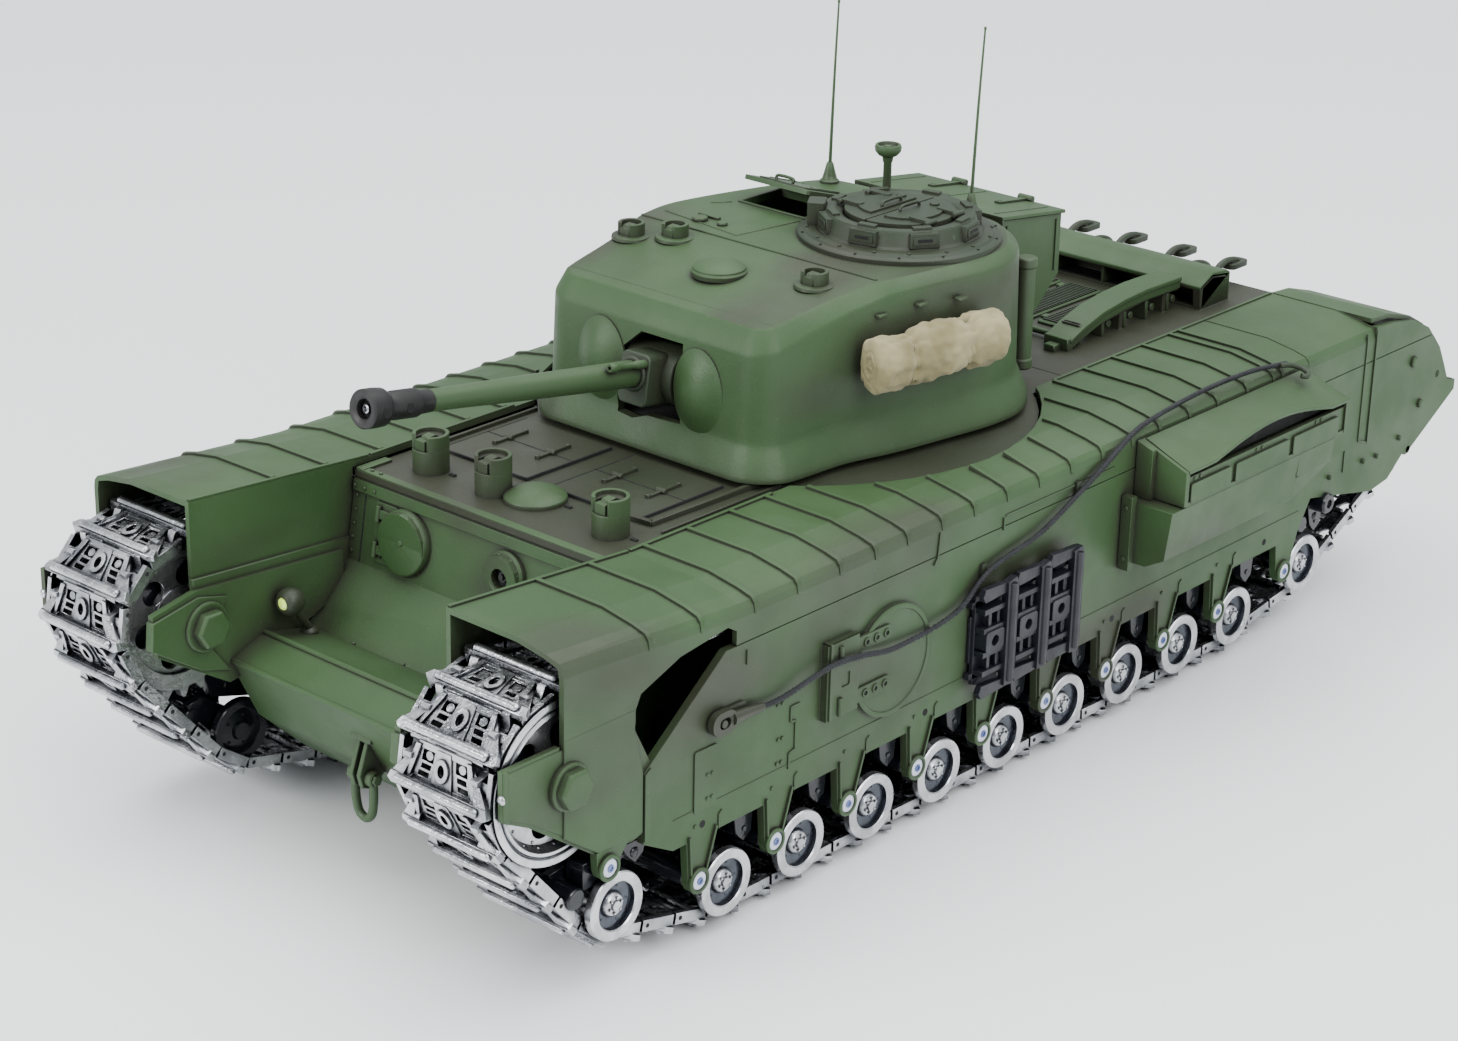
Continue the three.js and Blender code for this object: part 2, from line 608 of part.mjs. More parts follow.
function binLid() {
  const slope = (BIN.rearTop - BIN.frontTop) / (BIN.rear - BIN.front);
  const edge = (y) => BIN.frontTop + GAP + (y - BIN.front) * slope;
  const [y0, y1] = [BIN.front - 1, BIN.rear + 0.8];
  const plate = prism('x', [[y0, edge(y0)], [y0, edge(y0) + 1.3], [y1, edge(y1) + 1.3], [y1, edge(y1)]],
    [-BIN.half - 0.8, BIN.half + 0.8]);
  const strap = [[206, edge(206) + 1], [206, edge(206) + 1.8], [y1, edge(y1) + 2], [y1, edge(y1) + 1]];
  const straps = [-12, 14].map((x) => join(
    prism('x', strap, [x - 1, x + 1]),
    rod('x', [y1 - 0.6, edge(y1) + 1.6], 1.2, [x - 2.4, x + 2.4], 10),
  ));
  return join(plate, ...straps);
}

function tarpRoll(side) {
  const rings = [];
  for (let i = 0; i <= 14; i += 1) {
    const t = i / 14;
    const ties = [0.3, 0.7].map((place) => 0.16 * Math.exp(-(((t - place) / 0.05) ** 2)));
    const scale = (1 - ties[0] - ties[1]) * Math.min(1, 0.55 + Math.min(t, 1 - t) * 6);
    rings.push(circle([0, 0], scale, 12).map(([u, v]) => [u * 5.2, v * 7.6, t * TARP_LENGTH]));
  }
  const alongWall = new THREE.Matrix4().makeBasis(
    new THREE.Vector3(1, -TARP_LEAN, 0).normalize(),
    new THREE.Vector3(0, 0, -1),
    new THREE.Vector3(TARP_LEAN, 1, 0).normalize(),
  ).setPosition(...TARP_AT);
  const roll = moved(lofted(rings), alongWall);
  return side > 0 ? roll : moved(roll, MIRROR);
}

function antenna([x, y], lean) {
  const profile = [[0, 0], [2.2, 0], [2, 1], [1.3, 4.2], [0.8, 5.4], [0, 5.4]];
  const foot = turned('z', [x, y, ROOF_Z + GAP], profile, 12);
  const whip = bar([
    [x, y, ROOF_Z + 4], [x + lean * 0.3, y, ROOF_Z + 24], [x + lean, y, ROOF_Z + ANTENNA_HEIGHT],
  ], 0.55, 8, 8);
  return join(foot, whip);
}

// ---------------------------------------------------------------- fittings

function headlight() {
  const profile = [[0, 3.8], [2, 3.3], [3.4, 1.8], [3.9, -0.4], [3.4, -2.4], [2.7, -3], [0, -3]];
  const bowl = turned('y', HEADLIGHT, profile, 18);
  const stalk = bar([HEADLIGHT, HEADLIGHT_FOOT], 1, 3, 10);
  return join(bowl, stalk);
}

function towCable() {
  const route = [
    [91.9, -1, 63.4], [92, 16.1, 62.4], [93.6, 34.9, 66], [94, 48, 65], [93.4, 63, 62.4],
    [92, 89.9, 63.3], [92, 105, 71.6], [92, 128.3, 76], [91.8, 146.9, 83], [91.6, 160, 88.4],
    [91, 172, 93.4], [90.2, 182, 95], [88.6, 202, 95.7], [87.8, 222, 95.8], [88.6, 240, 95.7],
    [90.4, 256, 94.6],
  ];
  const rope = bar(route, 0.9, 36, 8);
  const eye = cut(
    join(rod('x', [-6, 63.4], 4, [90.6, 92.6], 16), box([90.8, 92.8], [-4, 3], [61.8, 65])),
    rod('x', [-6, 63.4], 1.8, [89, 94], 12),
  );
  return join(rope, eye);
}

function spareLinks() {
  const links = [0, 1, 2].map((i) => {
    const y = 99 + i * 16;
    const pad = box([91.2, 94.4], [y, y + 13.4], [36, 66]);
    const ribs = [38, 50, 62].map((z) => box([94, 96.2], [y + 0.5, y + 13], [z - 1.2, z + 1.2]));
    return join(pad, ...ribs);
  });
  const rail = box([90.5, 92.5], [98, 146], [49.5, 52.5]);
  return join(...links, rail);
}

function battery() {
  return box([-22, 22], [110, 180], [18, 40]);
}

function gearbox(side) {
  const range = side > 0 ? [6, 40] : [-40, -6];
  const motor = side > 0 ? [8, 38] : [-38, -8];
  const output = side > 0 ? [38, 46.6] : [-46.6, -38];
  return join(
    box(range, [300, 338], [46, 62]),
    rod('x', [296, 44], 11, motor, 18),
    rod('x', SPROCKET, 3, output, 12),
  );
}

function controlBoard() {
  const chipPlaces = [[-12, 214], [6, 222], [-4, 238]];
  const chips = chipPlaces.map(([x, y]) => box([x, x + 10], [y, y + 8], [71, 74]));
  const postPlaces = [[-20, 206], [20, 206], [-20, 254], [20, 254]];
  const posts = postPlaces.map((place) => rod('z', place, 1.8, [17.6, 70], 8));
  return join(box([-24, 24], [200, 260], [69.4, 71.2]), ...chips, ...posts);
}

// ---------------------------------------------------------------- materials and assembly

const FINISH = {
  paint: { color: 0x4c6a44, roughness: 0.6, metalness: 0.1 },
  steel: { color: 0xc4c6c8, roughness: 0.35, metalness: 1 },
  castTrack: { color: 0xaeb0b2, roughness: 0.45, metalness: 1 },
  black: { color: 0x15161a, roughness: 0.3, metalness: 0.2 },
  gunmetal: { color: 0x2c2e33, roughness: 0.5, metalness: 0.5 },
  canvas: { color: 0xb8a67a, roughness: 0.95, metalness: 0 },
  rope: { color: 0x1a1d24, roughness: 0.9, metalness: 0 },
  board: { color: 0x1f5a3a, roughness: 0.6, metalness: 0 },
};

const tank = new THREE.Group();
tank.position.y = -MIDDLE_Y;

function piece(name, body, finish) {
  const mesh = new THREE.Mesh(geometryOf(body), new THREE.MeshStandardMaterial(FINISH[finish]));
  mesh.name = name;
  tank.add(mesh);
}

function bothSides(name, body, finish) {
  piece(`${name}_left`, body, finish);
  piece(`${name}_right`, moved(body, MIRROR), finish);
}

piece('hull_tub', hullTub(), 'paint');
piece('hull_roof', hullRoof(), 'paint');
piece('engine_deck', engineDeck(), 'paint');
bothSides('side_plate', sidePlate(), 'paint');
bothSides('track_guard', trackGuard(), 'paint');
bothSides('air_louvre', airLouvre(), 'paint');
bothSides('suspension', suspension(), 'black');
bothSides('track', track(), 'castTrack');
bothSides('idler', toothedWheel(IDLER, 50.2, 85.6), 'steel');
bothSides('sprocket', toothedWheel(SPROCKET, 50.2, 87), 'steel');
WHEELS.forEach((axle, i) => {
  const number = String(i + 1).padStart(2, '0');
  const wheel = roadWheel(axle);
  piece(`road_wheel_left_${number}`, wheel, 'steel');
  piece(`road_wheel_right_${number}`, moved(wheel, MIRROR), 'steel');
});

piece('turret_shell', turretShell(), 'paint');
piece('mantlet', mantlet(), 'gunmetal');
piece('gun_barrel', gunBarrel(), 'paint');
piece('cupola_ring', cupolaRing(), 'paint');
piece('cupola_leaf_left', cupolaLeaf(1), 'paint');
piece('cupola_leaf_right', cupolaLeaf(-1), 'paint');
piece('loader_hatch', loaderHatch(), 'paint');
piece('turret_bin', turretBin(), 'paint');
piece('bin_lid', binLid(), 'paint');
piece('tarp_roll_left', tarpRoll(1), 'canvas');
piece('tarp_roll_right', tarpRoll(-1), 'canvas');
piece('antenna_right', antenna([-29.5, 177], 1.5), 'paint');
piece('antenna_left', antenna([22.4, 181], 2), 'paint');

piece('headlight', headlight(), 'paint');
piece('tow_shackle', towShackle(), 'paint');
piece('tow_cable', towCable(), 'rope');
piece('spare_links', spareLinks(), 'black');
piece('battery', battery(), 'black');
piece('gearbox_left', gearbox(1), 'gunmetal');
piece('gearbox_right', gearbox(-1), 'gunmetal');
piece('control_board', controlBoard(), 'board');

export default tank;
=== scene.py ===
from math import asin, atan2, cos, dist, exp, hypot, pi, radians, sin, sqrt, tau

import bmesh
import bpy
from mathutils import Matrix, Vector, geometry, noise


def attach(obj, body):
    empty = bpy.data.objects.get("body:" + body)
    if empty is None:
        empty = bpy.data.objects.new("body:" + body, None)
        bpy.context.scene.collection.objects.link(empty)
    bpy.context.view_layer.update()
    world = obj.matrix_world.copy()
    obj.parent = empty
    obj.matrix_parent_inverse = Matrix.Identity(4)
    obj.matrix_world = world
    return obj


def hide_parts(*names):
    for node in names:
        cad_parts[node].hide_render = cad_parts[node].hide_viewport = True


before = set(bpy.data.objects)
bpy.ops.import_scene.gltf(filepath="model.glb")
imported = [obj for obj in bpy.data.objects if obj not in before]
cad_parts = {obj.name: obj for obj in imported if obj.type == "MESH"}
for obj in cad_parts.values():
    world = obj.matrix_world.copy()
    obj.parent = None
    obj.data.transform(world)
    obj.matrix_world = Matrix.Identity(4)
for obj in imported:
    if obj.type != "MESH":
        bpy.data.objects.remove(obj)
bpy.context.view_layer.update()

# Shapes are drawn in millimetres, with y counted from the second road wheel's axle, and turned
# into metres of the part's frame when a piece is made.
MM = 0.001
MIDDLE_Y = 140
WHEELS = [(-41.7, 23.7)] + [(30 * i, 14) for i in range(9)] + [(279.5, 20.1)]   # (y, z) of axles
WHEEL_R = 9.5
IDLER = (-60, 64.5)                    # (y, z)
SPROCKET = (328.5, 60.5)
BED_R = 22.6                           # inside of the track on the idler and the sprocket
TRACK_X = (52.5, 87.2)
TEETH = 24
SIDE = 90
RING = (0, 125)                        # (x, y) of the turret ring
TRUNNION = (-1, 72, 115.4)
GUN_ELEVATION = radians(8.8)
HEADLIGHT = (-42.2, -33.5, 64.9)
CUPOLA = (21.5, 148)
TURRET_Z = 95.3
ROOF_Z = 144                           # level part of the turret roof
ROOF_BREAK_Y = 110
ROOF_SLOPE = 0.155
LINK_PITCH = 12.9
LINK_HOLES = [(3.6, 7.6, 1.5, 4.5), (4.4, 7.7, 5.2, 6.6), (4.9, 8.5, 7.3, 8.7)]   # x0, x1, y0, y1


def metres(x, y, z):
    return Vector((x, y - MIDDLE_Y, z)) * MM


def linked(name, data):
    obj = bpy.data.objects.new(name, data)
    bpy.context.scene.collection.objects.link(obj)
    return obj


# ---- camera, light and floor

def make_camera():
    az, el, roll = (radians(a) for a in (41.275, 22.124, 1.162))
    back = Vector((sin(az) * cos(el), -cos(az) * cos(el), sin(el)))
    right = Vector((cos(az), sin(az), 0))
    up = back.cross(right)
    tilted_right = right * cos(roll) + up * sin(roll)
    tilted_up = -right * sin(roll) + up * cos(roll)
    data = bpy.data.cameras.new("camera")
    data.sensor_width = 36
    data.lens = 77.61
    data.clip_start, data.clip_end = 0.05, 60
    camera = linked("camera", data)
    place = (0.567925, -0.687412, 0.41197)
    camera.matrix_world = Matrix((*zip(tilted_right, tilted_up, back, place), (0, 0, 0, 1)))
    bpy.context.scene.camera = camera


def area_light(name, place, target, size, power):
    data = bpy.data.lights.new(name, "AREA")
    data.shape = "RECTANGLE"
    data.size, data.size_y = size
    data.energy = power
    lamp = linked(name, data)
    lamp.location = place
    lamp.rotation_mode = "QUATERNION"
    lamp.rotation_quaternion = (Vector(target) - Vector(place)).to_track_quat("-Z", "Y")


def make_studio():
    world = bpy.data.worlds.new("studio")
    world.use_nodes = True
    sky = world.node_tree.nodes["Background"].inputs
    sky["Color"].default_value = (0.93, 0.96, 1, 1)
    sky["Strength"].default_value = 0.80
    bpy.context.scene.world = world
    area_light("overhead", (0.3, 0.6, 3), (0.1, 0.5, 0), (5, 5), 225)
    area_light("key", (1.5, -0.5, 1), (0, 0, 0.06), (0.8, 0.8), 15)
    area_light("front", (-0.5, -1.6, 0.8), (0, 0, 0.06), (0.9, 0.5), 22)
    bm = bmesh.new()
    bmesh.ops.create_grid(bm, x_segments=2, y_segments=2, size=8)
    data = bpy.data.meshes.new("floor")
    bm.to_mesh(data)
    bm.free()
    floor = linked("floor", data)
    data.materials.append(Nodes("floor_white").surface(
        Base_Color=(0.93, 0.945, 0.955), Roughness=0.22, Specular_IOR_Level=0.32))


# ---- materials

class Nodes:
    """A material with a Principled shader and short calls for the nodes in front of it."""

    def __init__(self, name):
        self.material = bpy.data.materials.new(name)
        self.material.use_nodes = True
        self.tree = self.material.node_tree
        self.shader = self.tree.nodes["Principled BSDF"]
        self.place = None

    def link(self, source, socket):
        if isinstance(source, bpy.types.NodeSocket):
            self.tree.links.new(source, socket)
        else:
            socket.default_value = (*source, 1) if socket.type == "RGBA" else source

    def node(self, kind, inputs, **settings):
        node = self.tree.nodes.new("ShaderNode" + kind)
        for setting, value in settings.items():
            setattr(node, setting, value)
        for socket, source in inputs.items():
            self.link(source, node.inputs[socket])
        return node.outputs

    def noise(self, scale, detail=3, roughness=0.55, stretch=None):
        self.place = self.place or self.node("TexCoord", {})["Object"]
        place = self.place
        if stretch:
            place = self.node("Mapping", {"Scale": stretch, "Vector": place})["Vector"]
        sockets = {"Scale": scale, "Detail": detail, "Roughness": roughness, "Vector": place}
        return self.node("TexNoise", sockets)["Fac"]

    def ramp(self, source, low, high, to=(0, 1)):
        sockets = {"Value": source, "From Min": low, "From Max": high, "To Min": to[0], "To Max": to[1]}
        return self.node("MapRange", sockets, interpolation_type="SMOOTHSTEP")["Result"]

    def math(self, operation, a, b):
        return self.node("Math", {0: a, 1: b}, operation=operation)[0]

    def mix(self, factor, a, b):
        return self.node("Mix", {0: factor, 6: a, 7: b}, data_type="RGBA")[2]

    def crevices(self, distance, samples=6):
        return self.node("AmbientOcclusion", {"Distance": distance}, samples=samples)["AO"]

    def surface(self, bump=None, depth=0, **sockets):
        """Fills the shader's sockets, with underscores for spaces, and gives the material."""
        if bump:
            raised = self.node("Bump", {"Distance": depth, "Strength": 1, "Height": bump})
            sockets["Normal"] = raised["Normal"]
        for name, source in sockets.items():
            self.link(source, self.shader.inputs[name.replace("_", " ")])
        return self.material


GREEN = (0.028, 0.066, 0.020)
GREEN_LIGHT = (0.038, 0.080, 0.028)
BROWN = (0.028, 0.030, 0.018)
# Near-black painted shade for the creases of the green paint.
SHADE_DARK = (0.012, 0.014, 0.010)
SPECK = (0.09, 0.12, 0.08)


def painted(name, brown_share=0.19, cast=0, green=GREEN):
    """Matte green paint with brown-grey airbrushed clouds, brown painted shade in corners that also stands for
    airbrushing along seams, and near-black painted shade in creases.
    """
    n = Nodes(name)
    base = n.mix(n.ramp(n.noise(26), 0.35, 0.7), green, GREEN_LIGHT if green == GREEN else green)
    clouds = n.ramp(n.noise(13, 2, stretch=(1.5, 0.7, 1.5)), 0.6 - brown_share * 0.42, 0.8 - brown_share * 0.36)
    # Brown painted shade in corners, which also stands for the brown airbrushing along seams; the clouds are
    # airbrushed paint.
    corner = n.ramp(n.crevices(0.011), 0.5, 0.93, (1, 0))
    brown = n.math("MAXIMUM", n.math("MULTIPLY", clouds, 0.85), n.math("MULTIPLY", corner, 0.9))
    # Painted shade: creases are darkened almost to black.
    crease_shade = n.ramp(n.crevices(0.0022, 4), 0.35, 0.85, (0.8, 0))
    colour = n.mix(crease_shade, n.mix(brown, base, BROWN), SHADE_DARK)
    speck = n.ramp(n.noise(900, 2), 0.68, 0.76, (0, 0.35))
    grain = n.noise(1500, 2)
    if cast:
        grain = n.math("ADD", grain, n.math("MULTIPLY", n.noise(210, 4, 0.6), 3 * cast))
    return n.surface(grain, 0.00006, Base_Color=n.mix(speck, colour, SPECK), Specular_IOR_Level=0.42,
                     Roughness=n.ramp(n.noise(60), 0.3, 0.7, (0.44, 0.58)))


def cast_silver(name):
    """Bright cast zinc: grainy, a little uneven, with painted shade darkening its hollows."""
    n = Nodes(name)
    tone = n.mix(n.ramp(n.noise(70, 4), 0.3, 0.7), (0.30, 0.31, 0.33), (0.66, 0.67, 0.69))
    # Painted shade: hollows are darkened almost to black.
    pocket_shade = n.ramp(n.crevices(0.005), 0.55, 0.96, (1, 0))
    return n.surface(n.noise(420, 4, 0.65), 0.0003, Base_Color=n.mix(pocket_shade, tone, (0.020, 0.022, 0.028)),
                     Metallic=0.95, Roughness=n.ramp(n.noise(160, 4), 0.3, 0.7, (0.16, 0.36)))


def turned_silver(name, tone, roughness):
    n = Nodes(name)
    # Painted shade: hollows are darkened towards blue-black.
    pocket_shade = n.ramp(n.crevices(0.004), 0.4, 0.92, (1, 0))
    colour = n.mix(n.ramp(n.noise(160, 4), 0.38, 0.62), tone, tuple(c * 0.72 for c in tone))
    uneven = n.ramp(n.noise(90), 0.3, 0.7, (roughness - 0.05, roughness + 0.1))
    return n.surface(n.noise(600), 0.0001, Base_Color=n.mix(pocket_shade, colour, (0.05, 0.055, 0.07)),
                     Metallic=0.95, Roughness=uneven)


def coated(name, colour, roughness, metallic, worn):
    """Plain dark moulding or paint, slightly uneven, rubbed a little lighter in places."""
    n = Nodes(name)
    colour = n.mix(n.ramp(n.noise(90, 4), 0.45, 0.75, (0, 0.8)), colour, worn)
    uneven = n.ramp(n.noise(140), 0.3, 0.7, (roughness * 0.8, roughness * 1.25))
    return n.surface(n.noise(900), 0.00006, Base_Color=colour, Metallic=metallic, Roughness=uneven)


def canvas_cloth(name):
    n = Nodes(name)
    # Painted shade: folds are darkened to deep brown.
    fold = n.ramp(n.crevices(0.004), 0.3, 0.95, (1, 0))
    light = n.mix(n.ramp(n.noise(55, 4), 0.38, 0.66), (0.19, 0.165, 0.072), (0.30, 0.265, 0.14))
    stain = n.mix(n.ramp(n.noise(24), 0.52, 0.72, (0, 0.55)), light, (0.15, 0.165, 0.085))
    weave = n.math("ADD", n.math("MULTIPLY", n.noise(2600, 2), 0.5), n.noise(330, 4))
    return n.surface(weave, 0.00022, Base_Color=n.mix(fold, stain, (0.085, 0.075, 0.038)),
                     Roughness=0.85, Sheen_Weight=0.15)


def rope_fibre(name):
    n = Nodes(name)
    fibre = n.ramp(n.noise(700, 3, stretch=(1, 0.4, 1)), 0.35, 0.7)
    colour = n.mix(fibre, (0.003, 0.004, 0.006), (0.009, 0.011, 0.015))
    return n.surface(n.noise(1800, 2), 0.0001, Base_Color=colour, Roughness=0.7)


def lamp_lens(name):
    n = Nodes(name)
    colour = n.mix(n.ramp(n.noise(300, 2), 0.4, 0.6), (0.62, 0.86, 0.10), (0.80, 0.95, 0.30))
    return n.surface(Base_Color=colour, Roughness=0.12, Emission_Color=(0.55, 0.85, 0.08),
                     Emission_Strength=0.35)


make_camera()

PAINT = painted("paint_green")
PAINT_CAST = painted("paint_green_cast", 0.14, 0.6)
PAINT_ROOF = painted("paint_turret_roof", 0.42)
PAINT_BROWN = painted("paint_brown_shaded", 0.35, green=(0.015, 0.029, 0.012))
PAINT_MANTLET = painted("paint_mantlet", 0.1, green=(0.028, 0.044, 0.024))
PAINT_CLEAN = painted("paint_green_clean", 0.12, green=(0.039, 0.077, 0.029))
PAINT_DECK = painted("paint_deck_brown", 0.75, green=(0.026, 0.037, 0.020))
PAINT_DARK = painted("paint_dark_green", 0.5, green=(0.019, 0.034, 0.016))
CAST = cast_silver("cast_track_silver")
SILVER = turned_silver("turned_silver", (0.64, 0.65, 0.67), 0.24)
SILVER_DISH = turned_silver("silver_dish_grey", (0.11, 0.12, 0.14), 0.16)
BLACK = coated("gloss_black", (0.006, 0.007, 0.010), 0.16, 0, (0.012, 0.013, 0.018))
GUNMETAL = coated("satin_gunmetal", (0.010, 0.010, 0.010), 0.5, 0.2, (0.018, 0.017, 0.017))
SPARE = coated("spare_link_black", (0.004, 0.0045, 0.009), 0.45, 0, (0.009, 0.010, 0.016))
# Black for painted shade inside holes, gaps, slots and openings, and under the cowl and the louvres.
SHADE_BLACK = coated("painted_shade_black", (0.006, 0.006, 0.006), 0.9, 0, (0.008, 0.008, 0.008))
CANVAS = canvas_cloth("tan_canvas")
ROPE = rope_fibre("rope_dark")
WASHER = coated("washer_white", (0.62, 0.68, 0.78), 0.3, 0, (0.55, 0.6, 0.7))
SCREW = coated("screw_blue_grey", (0.10, 0.14, 0.32), 0.3, 0.6, (0.2, 0.24, 0.4))
LENS = lamp_lens("lamp_yellow_green")
BOARD = coated("circuit_board", (0.02, 0.10, 0.05), 0.45, 0, (0.03, 0.13, 0.06))
make_studio()


# ---- shapes

# From the two coordinates across an axis and the place along it to (x, y, z).
AXES = {"x": lambda u, v, t: (t, u, v), "y": lambda u, v, t: (u, t, v), "z": lambda u, v, t: (u, v, t)}


def oval(centre, ru, rv, sides, turn=0):
    angles = [turn + tau * k / sides for k in range(sides)]
    return [(centre[0] + ru * cos(a), centre[1] + rv * sin(a)) for a in angles]


def circle(centre, radius, sides, turn=0):
    return oval(centre, radius, radius, sides, turn)


class Shape:
    """Closed shells collected in millimetres, each face with the place of its material."""

    def __init__(self, base=Matrix.Identity(4)):
        self.points, self.faces, self.places = [], [], []
        self.place = 0
        self.frame = base

    def add(self, points, faces, places=None):
        start = len(self.points)
        self.points += [self.frame @ Vector(p) for p in points]
        self.faces += [[i + start for i in f] for f in faces]
        self.places += places or [self.place] * len(faces)
        return self

    def include(self, other, transform=Matrix.Identity(4)):
        return self.add([transform @ p for p in other.points], other.faces, other.places)

    def mirrored(self):
        made = Shape()
        made.points = [Vector((-p.x, p.y, p.z)) for p in self.points]
        made.faces = [f[::-1] for f in self.faces]
        made.places = list(self.places)
        return made

    def doubled(self):
        """This shape with its mirror image across the middle."""
        return Shape().include(self).include(self.mirrored())

    def box(self, xs, ys, zs):
        points = [(x, y, z) for x in xs for y in ys for z in zs]
        return self.add(points, [(0, 1, 3, 2), (4, 6, 7, 5), (0, 4, 5, 1), (2, 3, 7, 6), (0, 2, 6, 4),
                                 (1, 5, 7, 3)])

    def prism(self, axis, outline, ends, holes=()):
        loops = [list(outline), *[list(h) for h in holes]]
        flat = [p for loop in loops for p in loop]
        count = len(flat)
        cap = [tuple(range(count))]
        if holes:
            cap = geometry.tessellate_polygon([[Vector((u, v, 0)) for u, v in loop] for loop in loops])
            cap = [tuple(c) for c in cap]
        faces = [c[::-1] for c in cap] + [tuple(i + count for i in c) for c in cap]
        start = 0
        for loop in loops:
            for i in range(len(loop)):
                a, b = start + i, start + (i + 1) % len(loop)
                faces.append((a, b, b + count, a + count))
            start += len(loop)
        return self.add([AXES[axis](u, v, t) for t in ends for u, v in flat], faces)

    def lathe(self, axis, centre, profile, sides=32, bands=None):
        """profile is (radius, place along the axis) pairs; centre is the two other coordinates."""
        points, rings, faces, places = [], [], [], []
        for r, t in profile:
            spots = circle(centre, r, sides) if r else [centre]
            rings.append(range(len(points), len(points) + len(spots)))
            points += [AXES[axis](*spot, t) for spot in spots]
        for j, (low, high) in enumerate(zip(rings, rings[1:])):
            for k in range(sides if len(low) + len(high) > 2 else 0):
                k2 = (k + 1) % sides
                corners = (low[k % len(low)], high[k % len(high)], high[k2 % len(high)], low[k2 % len(low)])
                faces.append(list(dict.fromkeys(corners)))
                places.append(bands[j] if bands else self.place)
        return self.add(points, faces, places)

    def rod(self, axis, centre, radius, ends, sides=20, chamfer=0):
        a, b = ends
        c = chamfer
        profile = [(0, a), (radius, a), (radius, b), (0, b)]
        if c:
            profile = [(0, a), (radius - c, a), (radius, a + c), (radius, b - c), (radius - c, b), (0, b)]
        return self.lathe(axis, centre, profile, sides)

    def dome(self, axis, centre, radius, base, height, sides=16):
        arc = [(radius * cos(pi / 8 * i), base + height * sin(pi / 8 * i)) for i in range(1, 4)]
        return self.lathe(axis, centre, [(0, base), (radius, base), *arc, (0, base + height)], sides)

    def hexbolt(self, axis, centre, radius, base, height):
        top = base + height
        profile = [(0, base), (radius, base), (radius, base + height * 0.75), (radius * 0.8, top), (0, top)]
        return self.lathe(axis, centre, profile, 6)

    def tube(self, path, radius, sides=10, closed=False, radii=None):
        points = [Vector(p) for p in path]
        last = len(points) - 1
        rings = []
        normal = None
        for i, p in enumerate(points):
            if closed:
                along = (points[(i + 1) % (last + 1)] - points[i - 1]).normalized()
            else:
                along = (points[min(i + 1, last)] - points[max(i - 1, 0)]).normalized()
            if normal is None:
                normal = Vector((0, 0, 1)) if abs(along.z) < 0.9 else Vector((0, 1, 0))
            normal = (normal - along * normal.dot(along)).normalized()
            other = along.cross(normal)
            section = circle((0, 0), radii[i] if radii else radius, sides)
            rings.append([p + normal * u + other * v for u, v in section])
        return self.loft(rings, not closed, closed)

    def loft(self, rings, capped=True, closed=False):
        count = len(rings[0])
        total = len(rings) * count
        faces = []
        for j in range(len(rings) if closed else len(rings) - 1):
            for k in range(count):
                a, b = j * count + k, j * count + (k + 1) % count
                faces.append((a, b, (b + count) % total, (a + count) % total))
        if capped:
            faces += [tuple(range(count))[::-1], tuple(range(total - count, total))]
        return self.add([p for ring in rings for p in ring], faces)


def smooth_path(points, per=6, closed=False):
    """Catmull-Rom curve through points of any dimension."""
    pts = [Vector(p) for p in points]
    pts = [pts[-1], *pts, *pts[:2]] if closed else [pts[0], *pts, pts[-1]]
    made = []
    for p0, p1, p2, p3 in zip(pts, pts[1:], pts[2:], pts[3:]):
        for s in range(per):
            t = s / per
            made.append(0.5 * ((2 * p1) + (p2 - p0) * t + (2 * p0 - 5 * p1 + 4 * p2 - p3) * t ** 2
                               + (3 * p1 - p0 - 3 * p2 + p3) * t ** 3))
    return made if closed else made + pts[-1:]


def finished(obj, bevel, angle=35, segments=2):
    obj.data.polygons.foreach_set("use_smooth", [True] * len(obj.data.polygons))
    obj.data.set_sharp_from_angle(angle=radians(angle))
    if bevel:
        modifier = obj.modifiers.new("edges", "BEVEL")
        modifier.width = bevel * MM
        modifier.segments = segments
        modifier.limit_method = "ANGLE"
        modifier.angle_limit = radians(38)


def new_mesh(name, shape, materials=()):
    data = bpy.data.meshes.new(name)
    data.from_pydata([metres(*p) for p in shape.points], [], shape.faces)
    data.polygons.foreach_set("material_index", shape.places)
    bm = bmesh.new()
    bm.from_mesh(data)
    bmesh.ops.recalc_face_normals(bm, faces=bm.faces)
    bm.to_mesh(data)
    bm.free()
    for material in materials:
        data.materials.append(material)
    return linked(name, data)


def piece(name, shape, body, materials, bevel=0.22, angle=35, segments=1, stands_for=()):
    obj = new_mesh(name, shape, materials if isinstance(materials, list) else [materials])
    finished(obj, bevel, angle, segments)
    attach(obj, body)
    if stands_for:
        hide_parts(*stands_for)
    return obj


def both(name, shape, body, materials, stands_for=None, bevel=0.22, angle=35, segments=1):
    for side, made in (("left", shape), ("right", shape.mirrored())):
        piece(f"{name}_{side}", made, body.format(side), materials, bevel, angle, segments,
              (f"{stands_for}_{side}",) if stands_for else ())


def cut_with(obj, *tools):
    """Cuts closed tool objects out of obj and keeps the result as its mesh."""
    for tool in tools:
        modifier = obj.modifiers.new("cut", "BOOLEAN")
        modifier.operation = "DIFFERENCE"
        modifier.solver = "EXACT"
        modifier.object = tool
        bpy.context.view_layer.update()
        evaluated = obj.evaluated_get(bpy.context.evaluated_depsgraph_get())
        mesh = bpy.data.meshes.new_from_object(evaluated)
        obj.modifiers.clear()
        obj.data = mesh
        bpy.data.objects.remove(tool)


# ---- tracks

